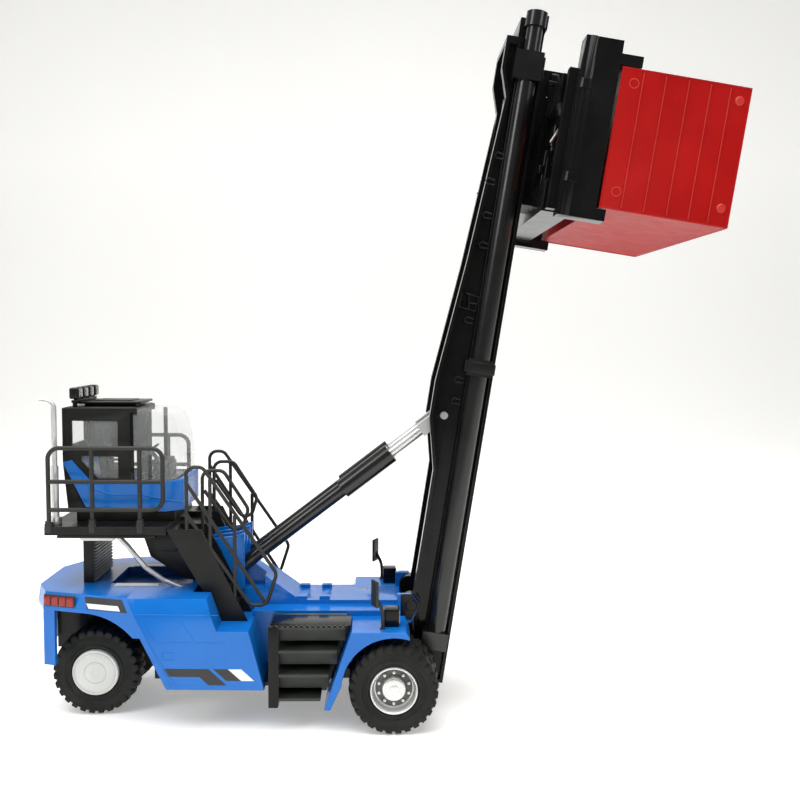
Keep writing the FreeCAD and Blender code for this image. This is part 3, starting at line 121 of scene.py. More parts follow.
# %% The sweep
SWEEP_DEPTH, SWEEP_WIDTH, SWEEP_BEND, SWEEP_HEIGHT = 900, 8000, 500, 2400
BEND_STEPS = 24
sweep_bm = bmesh.new()
bmesh.ops.create_grid(sweep_bm, x_segments=1, y_segments=1, size=0.5)
bmesh.ops.scale(sweep_bm, verts=sweep_bm.verts, vec=(SWEEP_WIDTH, 2 * SWEEP_DEPTH, 1))
far_edge = max(sweep_bm.edges, key=lambda edge: sum(vert.co.y for vert in edge.verts))
for step in range(BEND_STEPS + 1):
    angle = step * math.pi / 2 / BEND_STEPS
    grown = bmesh.ops.extrude_edge_only(sweep_bm, edges=[far_edge])["geom"]
    ends = [item for item in grown if isinstance(item, bmesh.types.BMVert)]
    far_edge = next(item for item in grown if isinstance(item, bmesh.types.BMEdge)
                    and item.verts[0] in ends and item.verts[1] in ends)
    for vert in ends:
        vert.co.y = SWEEP_DEPTH + SWEEP_BEND * math.sin(angle)
        vert.co.z = SWEEP_BEND * (1 - math.cos(angle))
last = bmesh.ops.extrude_edge_only(sweep_bm, edges=[far_edge])["geom"]
for item in last:
    if isinstance(item, bmesh.types.BMVert):
        item.co.z = SWEEP_HEIGHT
sweep_bm.transform(TRUCK)
sweep_mesh = bpy.data.meshes.new("sweep")
sweep_bm.to_mesh(sweep_mesh)
sweep_bm.free()
sweep_mesh.shade_smooth()
sweep = bpy.data.objects.new("sweep", sweep_mesh)
scene.collection.objects.link(sweep)
print("sweep made with", len(sweep_mesh.polygons), "faces")

# %% [markdown]
# ## The light
#
# One large lamp above gives soft shadows, two side lamps make long highlights on glossy plastic,
# and a pale world fills the rest.  Soft light suits a toy, because hard shadows make it look
# bigger than it is.

# %% Lamps and world
def soft_lamp(name, place, aim, size, power):
    """A square area lamp at a place, aimed at a point; both in millimetres from the front axle."""
    data = bpy.data.lights.new(name, "AREA")
    data.size = size
    data.energy = power
    lamp = bpy.data.objects.new(name, data)
    scene.collection.objects.link(lamp)
    lamp.location = TRUCK @ Vector(place)
    lamp.rotation_euler = (Vector(aim) - Vector(place)).to_track_quat("-Z", "Y").to_euler()
    print(name, "gives", power, "W")


MIDDLE = (-40, 0, 110)
soft_lamp("lamp_above", (-60, -120, 900), MIDDLE, 1.0, 15)
soft_lamp("lamp_left", (-700, -520, 620), MIDDLE, 0.35, 2.4)
soft_lamp("lamp_right", (700, -520, 620), MIDDLE, 0.35, 2.0)

world = bpy.data.worlds.new("pale_room")
scene.world = world
world.use_nodes = True
backdrop = world.node_tree.nodes["Background"]
backdrop.inputs["Color"].default_value = (1.0, 0.995, 0.985, 1)
backdrop.inputs["Strength"].default_value = 0.2
scene.view_settings.view_transform = "Standard"

# %% [markdown]
# ## Finishes
#
# Toy plastic and toy paint are never one flat colour: the colour drifts a little, the gloss is
# uneven and the surface has a faint orange peel or grain.  One helper builds all of this from
# noise in Object coordinates, so a pattern stays put when a part moves.  The numbers that are
# the same all over a surface go straight into the shader.

# %% A helper for every moulded or painted finish
def noise(nodes, links, coords, scale, detail=3):
    """A noise texture on the object's own coordinates."""
    texture = nodes.new("ShaderNodeTexNoise")
    texture.inputs["Scale"].default_value = scale
    texture.inputs["Detail"].default_value = detail
    links.new(coords.outputs["Object"], texture.inputs["Vector"])
    return texture


def ramp(nodes, links, source, stops):
    """A colour ramp fed by a texture's value; stops are (position, colour) pairs."""
    colours = nodes.new("ShaderNodeValToRGB")
    links.new(source, colours.inputs["Fac"])
    for index, (position, colour) in enumerate(stops):
        element = colours.color_ramp.elements[index]
        element.position = position
        element.color = (*colour, 1)
    return colours


def finish_of(name, dark, light, rough=(0.3, 0.4), peel=0.02, peel_scale=1500, cloud=60, **shader):
    """A material with drifting colour, uneven gloss and a fine grain; shader holds fixed inputs."""
    material = bpy.data.materials.new(name)
    material.use_nodes = True
    nodes, links = material.node_tree.nodes, material.node_tree.links
    surface = nodes["Principled BSDF"]
    coords = nodes.new("ShaderNodeTexCoord")
    drift = noise(nodes, links, coords, cloud)
    colour = ramp(nodes, links, drift.outputs["Fac"], [(0.35, dark), (0.65, light)])
    links.new(colour.outputs["Color"], surface.inputs["Base Color"])
    smears = noise(nodes, links, coords, 3 * cloud, 5)
    gloss = nodes.new("ShaderNodeMapRange")
    gloss.inputs["From Min"].default_value = 0.3
    gloss.inputs["From Max"].default_value = 0.7
    gloss.inputs["To Min"].default_value = rough[0]
    gloss.inputs["To Max"].default_value = rough[1]
    links.new(smears.outputs["Fac"], gloss.inputs["Value"])
    links.new(gloss.outputs["Result"], surface.inputs["Roughness"])
    grain = noise(nodes, links, coords, peel_scale, 2)
    bump = nodes.new("ShaderNodeBump")
    bump.inputs["Strength"].default_value = peel
    bump.inputs["Distance"].default_value = 0.0002
    links.new(grain.outputs["Fac"], bump.inputs["Height"])
    links.new(bump.outputs["Normal"], surface.inputs["Normal"])
    for label, value in shader.items():
        surface.inputs[label.replace("_", " ")].default_value = value
    return material


# %% [markdown]
# ## The toy's finishes
#
# The body is blue paint under a thin clear coat.  The mast is black plastic that was left glossy,
# the platform and the cab are satin, and the rails are duller still.  Each finish takes a dark and
# a light colour, the limits of its roughness, and whatever else sets it apart.

# %% One finish for each material of the toy
blue_paint = finish_of("blue_paint", (0.003, 0.122, 0.455), (0.004, 0.135, 0.49), (0.2, 0.26),
                       peel=0.02, peel_scale=500, Specular_IOR_Level=0.35, Coat_Weight=0.06,
                       Coat_Roughness=0.1)
black_gloss = finish_of("black_gloss_plastic", (0.003, 0.003, 0.003), (0.006, 0.006, 0.006), (0.16, 0.22),
                        peel=0.03, peel_scale=900, Specular_IOR_Level=0.2)
tube_black = finish_of("tube_gloss_plastic", (0.004, 0.004, 0.004), (0.007, 0.008, 0.007), (0.2, 0.27),
                       peel=0.02, peel_scale=900, Specular_IOR_Level=0.5)
black_satin = finish_of("black_satin_plastic", (0.006, 0.006, 0.005), (0.01, 0.01, 0.009), (0.3, 0.4),
                        peel=0.08, peel_scale=1600, Specular_IOR_Level=0.22)
rail_grey = finish_of("rail_matt_plastic", (0.014, 0.014, 0.012), (0.022, 0.022, 0.019), (0.42, 0.55),
                      peel=0.2, peel_scale=1800, Specular_IOR_Level=0.35)
seat_grey = finish_of("seat_grained_plastic", (0.02, 0.021, 0.018), (0.034, 0.036, 0.031), (0.55, 0.7),
                      peel=0.5, peel_scale=2600, Specular_IOR_Level=0.3)
silver_paint = finish_of("silver_paint", (0.56, 0.56, 0.55), (0.7, 0.7, 0.69), (0.25, 0.36), peel=0.08,
                         peel_scale=2400, Metallic=0.7)
hub_white = finish_of("hub_off_white", (0.56, 0.565, 0.53), (0.64, 0.645, 0.61), (0.36, 0.48), peel=0.12)
steel = finish_of("bright_steel", (0.42, 0.42, 0.42), (0.6, 0.6, 0.6), (0.25, 0.4), peel=0.1, Metallic=1.0)
rubber = finish_of("tyre_rubber", (0.007, 0.008, 0.006), (0.013, 0.014, 0.011), (0.5, 0.68), peel=0.3,
                   peel_scale=2200, cloud=120, Specular_IOR_Level=0.22)
container_red = finish_of("container_red_plastic", (0.285, 0.0025, 0.002), (0.325, 0.004, 0.003), (0.4, 0.48),
                          peel=0.02, peel_scale=500, Specular_IOR_Level=0.12)
# A lighter red for the container's beads, rings and studs: painted highlight standing in for the light on their
# glossy edges.
highlight_red = finish_of("container_highlight_red", (0.4, 0.02, 0.016), (0.46, 0.028, 0.022), (0.3, 0.38),
                     peel=0.02, peel_scale=500, Specular_IOR_Level=0.3)
white_print = finish_of("white_print", (0.7, 0.7, 0.68), (0.77, 0.77, 0.75), (0.35, 0.45))
black_print = finish_of("black_print", (0.007, 0.007, 0.007), (0.012, 0.012, 0.012), (0.3, 0.4))
step_grey = finish_of("step_soft_plastic", (0.022, 0.026, 0.02), (0.032, 0.037, 0.029), (0.3, 0.4),
                      peel=0.06, peel_scale=1600, Specular_IOR_Level=0.35)
# Dark grey of the column's slats; the same finish paints shade into the front rims' recess.
louvre_grey_and_recess_shade = finish_of("louvre_grey_and_recess_shade", (0.06, 0.06, 0.055), (0.1, 0.1, 0.092), (0.35, 0.5), peel=0.15)
lens_red = finish_of("lens_red", (0.3, 0.004, 0.004), (0.42, 0.008, 0.007), (0.08, 0.15), peel=0.02,
                     Transmission_Weight=0.3, IOR=1.49)
lens_clear = finish_of("lens_clear", (0.9, 0.9, 0.9), (0.98, 0.98, 0.98), (0.05, 0.12), peel=0.02,
                       Transmission_Weight=0.8, IOR=1.49)
glazing = finish_of("clear_glazing", (0.6, 0.63, 0.62), (0.7, 0.73, 0.72), (0.03, 0.08), peel=0.01,
                    peel_scale=300, Alpha=0.11, IOR=1.49)
sweep_white = finish_of("sweep_white", (0.86, 0.855, 0.835), (0.88, 0.875, 0.86), (0.6, 0.75), cloud=3,
                        Emission_Color=(1, 0.998, 0.98, 1), Emission_Strength=0.3)
sweep_mesh.materials.append(sweep_white)
print("finishes made:", len(bpy.data.materials))

# %% [markdown]
# ## Turning a bmesh into a piece
#
# Every new piece ends in the same way: doubles merged, normals outwards, moved into place,
# shaded smooth except at sharp edges, given its finish, and told which body it rides on.

# %% The last step of every piece
SHARP_ANGLE = math.radians(35)


def soften(piece, width):
    """A live bevel on sharp edges, in millimetres, with even shading."""
    bevel = piece.modifiers.new("soft_edges", "BEVEL")
    bevel.width = width * MILLIMETRE
    bevel.segments = 2
    bevel.limit_method = "ANGLE"
    bevel.angle_limit = SHARP_ANGLE
    bevel.miter_outer = "MITER_ARC"
    bevel.harden_normals = True


def piece_from(name, bm, material, body, place=TRUCK, soft=0, replaces=()):
    """Finish a bmesh that was modelled in millimetres."""
    bmesh.ops.remove_doubles(bm, verts=bm.verts, dist=0.002)
    bmesh.ops.recalc_face_normals(bm, faces=bm.faces)
    bm.transform(place)
    mesh = bpy.data.meshes.new(name)
    bm.to_mesh(mesh)
    bm.free()
    mesh.shade_smooth()
    mesh.set_sharp_from_angle(angle=SHARP_ANGLE)
    mesh.materials.append(material)
    piece = bpy.data.objects.new(name, mesh)
    scene.collection.objects.link(piece)
    if soft:
        soften(piece, soft)
    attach(piece, body)
    if replaces:
        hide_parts(*replaces)
    print(name, "has", len(mesh.polygons), "faces and rides on", body)
    return piece


# %% [markdown]
# ## Shapes that come back again and again
#
# A few small builders cover most of the toy: a profile spun about the wheel axis, a block between
# limits, a flat outline given a thickness, a cylinder between two points, and a round wire along
# a route.  Each works in millimetres, so its numbers can be checked with a ruler.

# %% Builders
def spun(points, segments=72, close=False):
    """A profile of (radius, along) points, turned once about Y."""
    bm = bmesh.new()
    verts = [bm.verts.new((radius, along, 0)) for radius, along in points]
    edges = [bm.edges.new(ends) for ends in zip(verts, verts[1:])]
    if close:
        edges.append(bm.edges.new((verts[-1], verts[0])))
    bmesh.ops.spin(bm, geom=verts + edges, cent=(0, 0, 0), axis=ACROSS, angle=2 * math.pi,
                   steps=segments, use_merge=True)
    return bm


def round_off(bm, verts, width, segments=3):
    """Bevel every edge that touches these vertices."""
    edges = list({edge for vert in verts for edge in vert.link_edges})
    bmesh.ops.bevel(bm, geom=edges, offset=width, segments=segments, profile=0.5,
                    affect="EDGES", material=-1)


def rotate(bm, verts, angle, axis, centre=(0, 0, 0)):
    """Turn vertices by an angle in radians about an axis through a centre."""
    bmesh.ops.rotate(bm, verts=verts, cent=centre, matrix=Matrix.Rotation(angle, 3, axis))


def block(bm, x, y, z, soft=0):
    """Add a block between two limits on each axis."""
    verts = bmesh.ops.create_cube(bm, size=1)["verts"]
    limits = (x, y, z)
    bmesh.ops.scale(bm, verts=verts, vec=[high - low for low, high in limits])
    bmesh.ops.translate(bm, verts=verts, vec=[(high + low) / 2 for low, high in limits])
    if soft:
        round_off(bm, verts, soft)
    return verts


def slab(bm, points, y):
    """Add an outline of (x, z) points, extruded between two limits along Y."""
    verts = [bm.verts.new((across, y[0], up)) for across, up in points]
    face = bm.faces.new(verts)
    grown = bmesh.ops.extrude_face_region(bm, geom=[face])["geom"]
    new = [item for item in grown if isinstance(item, bmesh.types.BMVert)]
    bmesh.ops.translate(bm, verts=new, vec=(0, y[1] - y[0], 0))
    return verts + new


def cylinder(bm, radius, start, end, segments=24, tip=None):
    """Add a cylinder between two points, or a cone if tip is the radius at its end."""
    start, end = Vector(start), Vector(end)
    turn = (end - start).to_track_quat("Z", "Y").to_matrix().to_4x4()
    place = Matrix.Translation((start + end) / 2) @ turn
    bmesh.ops.create_cone(bm, cap_ends=True, segments=segments, radius1=radius,
                          radius2=radius if tip is None else tip,
                          depth=(end - start).length, matrix=place)


def both_sides(bm):
    """Add the same geometry on the other side of the truck."""
    copy = bmesh.ops.duplicate(bm, geom=bm.verts[:] + bm.edges[:] + bm.faces[:])["geom"]
    verts = [item for item in copy if isinstance(item, bmesh.types.BMVert)]
    bmesh.ops.scale(bm, verts=verts, vec=(1, -1, 1))
    return bm


def with_mirror(routes):
    """Routes of (x, y, z) points, then the same routes on the other side of the truck."""
    return routes + [[(x, -y, z) for x, y, z in route] for route in routes]


def wires(name, routes, radius, material, body, place=TRUCK, smooth=False):
    """Round wires along routes of (x, y, z) points, as one mesh piece."""
    curve = bpy.data.curves.new(name, "CURVE")
    curve.dimensions = "3D"
    curve.bevel_depth = radius
    curve.bevel_resolution = 3
    curve.use_fill_caps = True
    for route in routes:
        spline = curve.splines.new("NURBS" if smooth else "POLY")
        spline.points.add(len(route) - 1)
        for point, spot in zip(spline.points, route):
            point.co = (*spot, 1)
        if smooth:
            spline.order_u = 3
            spline.use_endpoint_u = True
    holder = bpy.data.objects.new(name, curve)
    scene.collection.objects.link(holder)
    depsgraph = bpy.context.evaluated_depsgraph_get()
    mesh = bpy.data.meshes.new_from_object(holder.evaluated_get(depsgraph))
    bpy.data.objects.remove(holder)
    bm = bmesh.new()
    bm.from_mesh(mesh)
    piece_from(name, bm, material, body, place)


# %% [markdown]
# ## Tyres
#
# The tyres of a container handler have deep bars across their shoulders.  A spun ring gives the
# carcass with its raised sidewall bands.  One bar is a cube whose outer end drops over the
# shoulder; it is bevelled once and turned round the wheel, with the other side's bars set half a
# step along.

# %% Tyres with shoulder bars
BARS = 28


def shoulder_bars(width):
    """All the shoulder bars of one tyre, copied round from a single bevelled bar."""
    bm = bmesh.new()
    verts = bmesh.ops.create_cube(bm, size=2)["verts"]
    for vert in verts:
        outer, top, left = vert.co.y < 0, vert.co.x > 0, vert.co.z < 0
        shoulder = WHEEL_RADIUS - 0.7 if outer else WHEEL_RADIUS - 0.02
        half = (1.5 if outer else 1.1) - (0.25 if top else 0)
        vert.co = (shoulder if top else WHEEL_RADIUS - 3.4, 0.3 if outer else 0.54 * width,
                   (0 if outer else 0.9) + (-half if left else half))
    round_off(bm, verts, 0.35, 2)
    bar = bm.verts[:] + bm.edges[:] + bm.faces[:]
    for index in range(1, 2 * BARS):
        copy = bmesh.ops.duplicate(bm, geom=bar)["geom"]
        fresh = [item for item in copy if isinstance(item, bmesh.types.BMVert)]
        if index % 2:
            rotate(bm, fresh, math.pi, "X", (0, width / 2, 0))
        rotate(bm, fresh, index * math.pi / BARS, "Y")
    mesh = bpy.data.meshes.new("bars")
    bm.to_mesh(mesh)
    bm.free()
    return mesh


def tyre(name, x, inner_face, width, node, body):
    """A tyre on the left side, or on the right where inner_face is negative."""
    carcass = [(9.75, 0.7), (10.3, 0.2), (11.4, 0.15), (11.7, 0.45), (12.6, 0.45), (12.9, 0.15),
               (14.8, 0.2), (16.6, 0.75), (17.5, 2.2), (17.55, width / 2)]
    profile = carcass + [(radius, width - along) for radius, along in reversed(carcass[:-1])]
    bm = spun(profile, 96, close=True)
    bm.from_mesh(shoulder_bars(width))
    if inner_face < 0:
        bmesh.ops.scale(bm, verts=bm.verts, vec=(1, -1, 1))
    bmesh.ops.translate(bm, verts=bm.verts, vec=(x, inner_face, WHEEL_RADIUS))
    piece_from(name, bm, rubber, body, replaces=[node])


SIDES = (("l", 1), ("r", -1))
FRONT_TYRE_WIDTH, REAR_TYRE_WIDTH = 10.4, 12
FRONT_TYRE_FACES = (("outer", 33.6), ("inner", 22.4))
REAR_TYRE_FACE = 10.5
for side, flip in SIDES:
    for row, face in FRONT_TYRE_FACES:
        tyre(f"tyre_front_{row}_{side}", 0, flip * face, FRONT_TYRE_WIDTH,
             f"front_tyre_{row}_{side}", f"front_wheels_{side}")
    tyre(f"tyre_rear_{side}", REAR_AXLE_X, flip * REAR_TYRE_FACE, REAR_TYRE_WIDTH,
         f"rear_tyre_{side}", f"rear_wheel_{side}")

# %% [markdown]
# ## Rims
#
# The front rims are deep silver dishes with a ring of wheel nuts round a domed cap.  A profile
# spun about the axle gives the dish, a thin dark grey ring paints shade into its recess, and the
# nuts and studs stand round two circles.

# %% Front rims
def on_side(bm, flip, x):
    """Stand a left-side wheel part at its axle, on the left or the right."""
    bmesh.ops.scale(bm, verts=bm.verts, vec=(1, flip, 1))
    bmesh.ops.translate(bm, verts=bm.verts, vec=(x, 0, WHEEL_RADIUS))
    return bm


NUTS = 10
NUT_CIRCLE, STUD_CIRCLE = 6.3, 2.7
FRONT_DISH = [(0, 23.8), (5.4, 23.8), (9.6, 22.5), (9.6, 43.9), (9.4, 44.25), (9.0, 44.25),
              (8.75, 43.9), (8.5, 42.6), (8.3, 40.6), (7.9, 40.1), (7.5, 39.95), (5.0, 39.9),
              (4.85, 40.2), (4.8, 41.9), (4.5, 42.5), (3.9, 42.75), (3.6, 42.75), (3.45, 42.5),
              (2.0, 42.6), (1.8, 42.9), (0.9, 43.1), (0, 43.1)]
RECESS_SHADE_RING = [(5.0, 39.92), (5.0, 40.05), (7.5, 40.05), (7.5, 39.92)]
for side, flip in SIDES:
    body = f"front_wheels_{side}"
    rim = on_side(spun(FRONT_DISH, 96), flip, 0)
    piece_from(f"rim_front_{side}", rim, silver_paint, body, replaces=[f"front_rim_{side}"])
    # A dark grey ring laid on the floor of the dish's recess: painted shade.
    recess = on_side(spun(RECESS_SHADE_RING, 72, close=True), flip, 0)
    piece_from(f"rim_recess_shade_{side}", recess, louvre_grey_and_recess_shade, body)
    nuts = bmesh.new()
    for index in range(NUTS):
        angle = (index + 0.5) * 2 * math.pi / NUTS
        x, z = NUT_CIRCLE * math.cos(angle), NUT_CIRCLE * math.sin(angle)
        cylinder(nuts, 0.62, (x, 39.9, z), (x, 40.9, z), 6)
        cylinder(nuts, 0.32, (x, 40.9, z), (x, 41.3, z), 10, 0.22)
    for index in range(2 * NUTS):
        angle = index * math.pi / NUTS
        x, z = STUD_CIRCLE * math.cos(angle), STUD_CIRCLE * math.sin(angle)
        cylinder(nuts, 0.16, (x, 42.4, z), (x, 42.72, z), 8)
    piece_from(f"rim_nuts_{side}", on_side(nuts, flip, 0), silver_paint, body)

# %% [markdown]
# ## Rear rims
#
# The rear rims are shallow off-white discs with two ring grooves.  The grooves are steps in the
# profile, so they are real shapes and catch the light.

# %% Rear rims
REAR_DISC = [(0, 17.2), (3, 17.2), (3, 18.7), (9, 18.7), (9, 10.6), (9.6, 10.6), (9.6, 22.7),
             (9.4, 23.05), (9.0, 23.05), (8.75, 22.7), (8.3, 22.6), (8.1, 22.85), (7.7, 22.95),
             (4.75, 22.9), (4.6, 22.65), (4.35, 22.65), (4.2, 22.9), (1.5, 22.95), (1.3, 22.75),
             (0, 22.75)]
for side, flip in SIDES:
    rim = on_side(spun(REAR_DISC, 96), flip, REAR_AXLE_X)
    piece_from(f"rim_rear_{side}", rim, hub_white, f"rear_wheel_{side}",
               replaces=[f"rear_rim_{side}"])

# %% [markdown]
# ## Printed stripes
#
# The side of the truck has printed stripes.  They are outlines about a tenth of a millimetre thick
# that follow the body's side, which narrows towards the tail and leans in above the belt line.

# %% The body's side
BELT, DECK = 48.5, 54
DECK_LEAN = 2.5
BODY_HALVES = [(-149.5, 17), (-143.5, 28), (-104, 39.6), (-52, 41)]


def body_side(x, z):
    """Half the body's width at a height and a place along the truck."""
    for (x0, half0), (x1, half1) in zip(BODY_HALVES, BODY_HALVES[1:]):
        if x <= x1:
            break
    half = half0 + (half1 - half0) * (x - x0) / (x1 - x0)
    return half - max(0, z - BELT) * DECK_LEAN / (DECK - BELT)


def stripe(bm, points, lift=0.1):
    """Add a stripe that follows the body's side; points are (x, z)."""
    verts = [bm.verts.new((x, body_side(x, z) - 0.02, z)) for x, z in points]
    face = bm.faces.new(verts)
    grown = bmesh.ops.extrude_face_region(bm, geom=[face])["geom"]
    new = [item for item in grown if isinstance(item, bmesh.types.BMVert)]
    bmesh.ops.translate(bm, verts=new, vec=(0, lift, 0))


black_stripes, white_stripes = bmesh.new(), bmesh.new()
stripe(black_stripes, [(-125.8, 53.2), (-109.4, 53.2), (-106.6, 48.7), (-124.0, 48.7)])
stripe(black_stripes, [(-92.2, 26.3), (-74.2, 26.3), (-67.1, 19.8), (-74.3, 19.8), (-77.8, 23.1),
                       (-90.2, 23.1)])
stripe(black_stripes, [(-72.2, 26.3), (-66.3, 26.3), (-61.1, 21.6), (-67.1, 21.6)])
stripe(white_stripes, [(-124.6, 50.8), (-110.8, 50.8), (-109.6, 49.0), (-123.4, 49.0)], 0.14)
stripe(white_stripes, [(-66.3, 26.3), (-61.1, 26.3), (-55.9, 21.6), (-61.1, 21.6)])
piece_from("stripes_black", both_sides(black_stripes), black_print, "truck")
piece_from("stripes_white", both_sides(white_stripes), white_print, "truck")

# %% [markdown]
# ## Panel lines and deck strips
#
# Fine raised lines mark the panels of the engine bay.  They are thin wires half sunk in the
# paint.  A thin pale strip lies on the deck on each side.

# %% Panel lines and deck strips
PANEL_LINES = [
    [(-101.9, 47.2), (-94.8, 37.1), (-81.5, 37.1)],
    [(-86.0, 47.2), (-79.3, 37.1), (-67.5, 37.1)],
    [(-92.5, 33.0), (-88.1, 33.0), (-88.1, 30.1), (-92.5, 30.1), (-92.5, 33.0)],
    [(-103.4, 48.2), (-70.5, 48.2)],
    [(-97.6, 36.0), (-90.6, 24.5), (-86.6, 17.9)],
]
lines = [[(x, body_side(x, z) - 0.02, z) for x, z in points] for points in PANEL_LINES]
wires("panel_lines", with_mirror(lines), 0.13, blue_paint, "truck")
# A thin pale strip on each side of the deck, in the white finish.
label = bmesh.new()
slab(label, [(-117.5, 53.9), (-99.0, 53.9), (-99.0, 54.25), (-117.5, 54.25)], (14.3, 18.2))
piece_from("deck_pale_strip", both_sides(label), white_print, "truck", soft=0.05)

# %% [markdown]
# ## Tail lamps
#
# The tail lamps are clear red mouldings in four cells, each in a dark holder.  They are made in
# line with the truck and turned to lie along the tail, which narrows towards its end.

# %% Tail lamps
(tail_x, tail_half), (flank_x, flank_half) = BODY_HALVES[1:3]
TAIL_TURN = math.atan2(flank_half - tail_half, flank_x - tail_x)
LAMP_CELLS, LAMP_LENGTH = 4, 14.2
lens = bmesh.new()
for cell in range(LAMP_CELLS):
    start = 0.15 + cell * LAMP_LENGTH / LAMP_CELLS
    block(lens, (start, start + 3.05), (-0.35, 0.75), (0.5, 4.1), 0.3)
holder = bmesh.new()
block(holder, (0, 14.4), (-0.4, 0.35), (0, 4.8), 0.2)
for bm in (lens, holder):
    rotate(bm, bm.verts, TAIL_TURN, "Z")
    bmesh.ops.translate(bm, verts=bm.verts, vec=(tail_x, tail_half, 48.6))
    bmesh.ops.translate(bm, verts=bm.verts, vec=(0.3, -0.25, 0))
    both_sides(bm)
piece_from("tail_lamp_cells", lens, lens_red, "truck", replaces=["tail_lamps"])
piece_from("tail_lamp_holders", holder, black_print, "truck")

# %% [markdown]
# ## Headlamps and mirrors
#
# The headlamps are rounded black boxes with a clear lens.  The mirrors are rounded plates, turned
# a little about their upright axis, on curved stalks.

# %% Headlamps and mirrors
lamp = bmesh.new()
block(lamp, (-4, 2.1), (30, 36), (42.0, 49.2), 0.55)
block(lamp, (-2.6, 1.0), (31.2, 34.8), (41.3, 42.2), 0.3)
piece_from("headlamp_boxes", both_sides(lamp), black_gloss, "truck", replaces=["headlamps"])
glass = bmesh.new()
block(glass, (1.7, 2.4), (30.8, 35.2), (43.0, 48.2), 0.3)
piece_from("headlamp_lenses", both_sides(glass), lens_clear, "truck")
plate = bmesh.new()
block(plate, (-8.4, -7.2), (35.2, 40.9), (50.9, 61.6), 0.55)
rotate(plate, plate.verts, math.radians(-24), "Z", (-7.8, 38, 56))
cylinder(plate, 1.25, (-4.6, 38, 41.6), (-4.6, 38, 42.6), 20, 0.9)
piece_from("mirror_plates", both_sides(plate), rail_grey, "truck", replaces=["mirrors"])
STALK = [(-4.6, 38, 41.8), (-4.5, 38, 46), (-4.9, 38, 50), (-6.6, 38, 53.2), (-7.6, 38, 55.4)]
wires("mirror_stalks", with_mirror([STALK]), 0.75, rail_grey, "truck", smooth=True)

# %% [markdown]
# ## The cab
#
# The cab's front is one clear bubble.  It starts as the cab's side outline, extruded across,
# with its front corners rounded.  Its rear and bottom faces are taken off, and Solidify gives the
# rest a wall.  The side and rear windows are thin flat panes.

# %% Cab glass
GLASS_WALL = 0.45
bubble = bmesh.new()
outline = [(-110.2, 97.6), (-88.6, 97.6), (-88.7, 100), (-89.2, 108), (-90.2, 116), (-91.6, 122.4),
           (-93.4, 126.2), (-96.6, 127.8), (-101.5, 128.3), (-110.2, 128.3)]
slab(bubble, outline, (-15.4, 15.4))
bmesh.ops.recalc_face_normals(bubble, faces=bubble.faces)
corners = [edge for edge in bubble.edges if edge.calc_face_angle() > 1
           and all(vert.co.x > -110 for vert in edge.verts)
           and edge.verts[0].co.y * edge.verts[1].co.y > 0]
bmesh.ops.bevel(bubble, geom=corners, offset=2.4, segments=5, profile=0.5, affect="EDGES", material=-1)
bubble.normal_update()
ends = [face for face in bubble.faces if face.normal.x < -0.9 or face.normal.z < -0.9]
bmesh.ops.delete(bubble, geom=ends, context="FACES")
bubble_piece = piece_from("cab_bubble", bubble, glazing, "truck", replaces=["cab_glazing"])
wall = bubble_piece.modifiers.new("wall", "SOLIDIFY")
wall.thickness = GLASS_WALL * MILLIMETRE
wall.offset = -1
panes = bmesh.new()
block(panes, (-134.9, -115.8), (14.9, 15.3), (112.5, 123.4), 0.1)
slab(panes, [(-131, 108.6), (-131, 106.6), (-124.2, 99.2), (-115.8, 99.2), (-115.8, 108.6)], (14.9, 15.3))
both_sides(panes)
block(panes, (-138.2, -137.8), (-12, 12), (112.5, 123.4), 0.1)
piece_from("cab_panes", panes, glazing, "truck")

# %% [markdown]
# ## Cab trim
#
# The lower shell has a raised crease that sweeps forward and a second one down its door.  Dark
# pillars stand behind the glass, and the roof is a stack of thin plates.

# %% Creases, pillars and roof plates
CREASE_Y = 15.95
SWEPT_CREASE = [(-126.5, 95.6), (-122, 93.0), (-116, 92.2), (-108, 92.6), (-101, 91.4), (-95, 89.9),
                (-88.9, 89.3)]
DOOR_CREASE = [(-133.6, 104.6), (-128.4, 97.0), (-126.6, 90.2), (-125.4, 86.2)]
creases = [[(x, CREASE_Y, z) for x, z in crease] for crease in (SWEPT_CREASE, DOOR_CREASE)]
wires("cab_creases", with_mirror(creases), 0.28, blue_paint, "truck", smooth=True)
trim = bmesh.new()
for sign in (1, -1):
    block(trim, (-110.6, -109.2), sorted((sign * 14.6, sign * 16.0)), (97.2, 127.4), 0.25)
    block(trim, (-103.6, -101.8), sorted((sign * 14.2, sign * 15.0)), (98.6, 127.0), 0.25)
block(trim, (-109.2, -92.6), (-14.6, 14.6), (98.3, 98.9), 0.2)
piece_from("cab_pillars", trim, black_gloss, "truck")
roof = bmesh.new()
block(roof, (-135.2, -107.2), (-10.2, 10.2), (130.1, 131.2), 0.5)
block(roof, (-131.8, -110), (-7.6, 7.6), (128.9, 130.4), 0.3)
block(roof, (-137.8, -108.4), (-15.4, 15.4), (128.2, 129.1), 0.4)
block(roof, (-128, -112), (-6, 6), (131.0, 131.6), 0.3)
piece_from("roof_plates", roof, black_satin, "truck", replaces=["roof_hatch"])

# %% [markdown]
# ## Roof lamps
#
# Four work lamps stand in a row on a bar at the rear of the roof.  Each is a rounded box with a
# short foot and a clear glass.

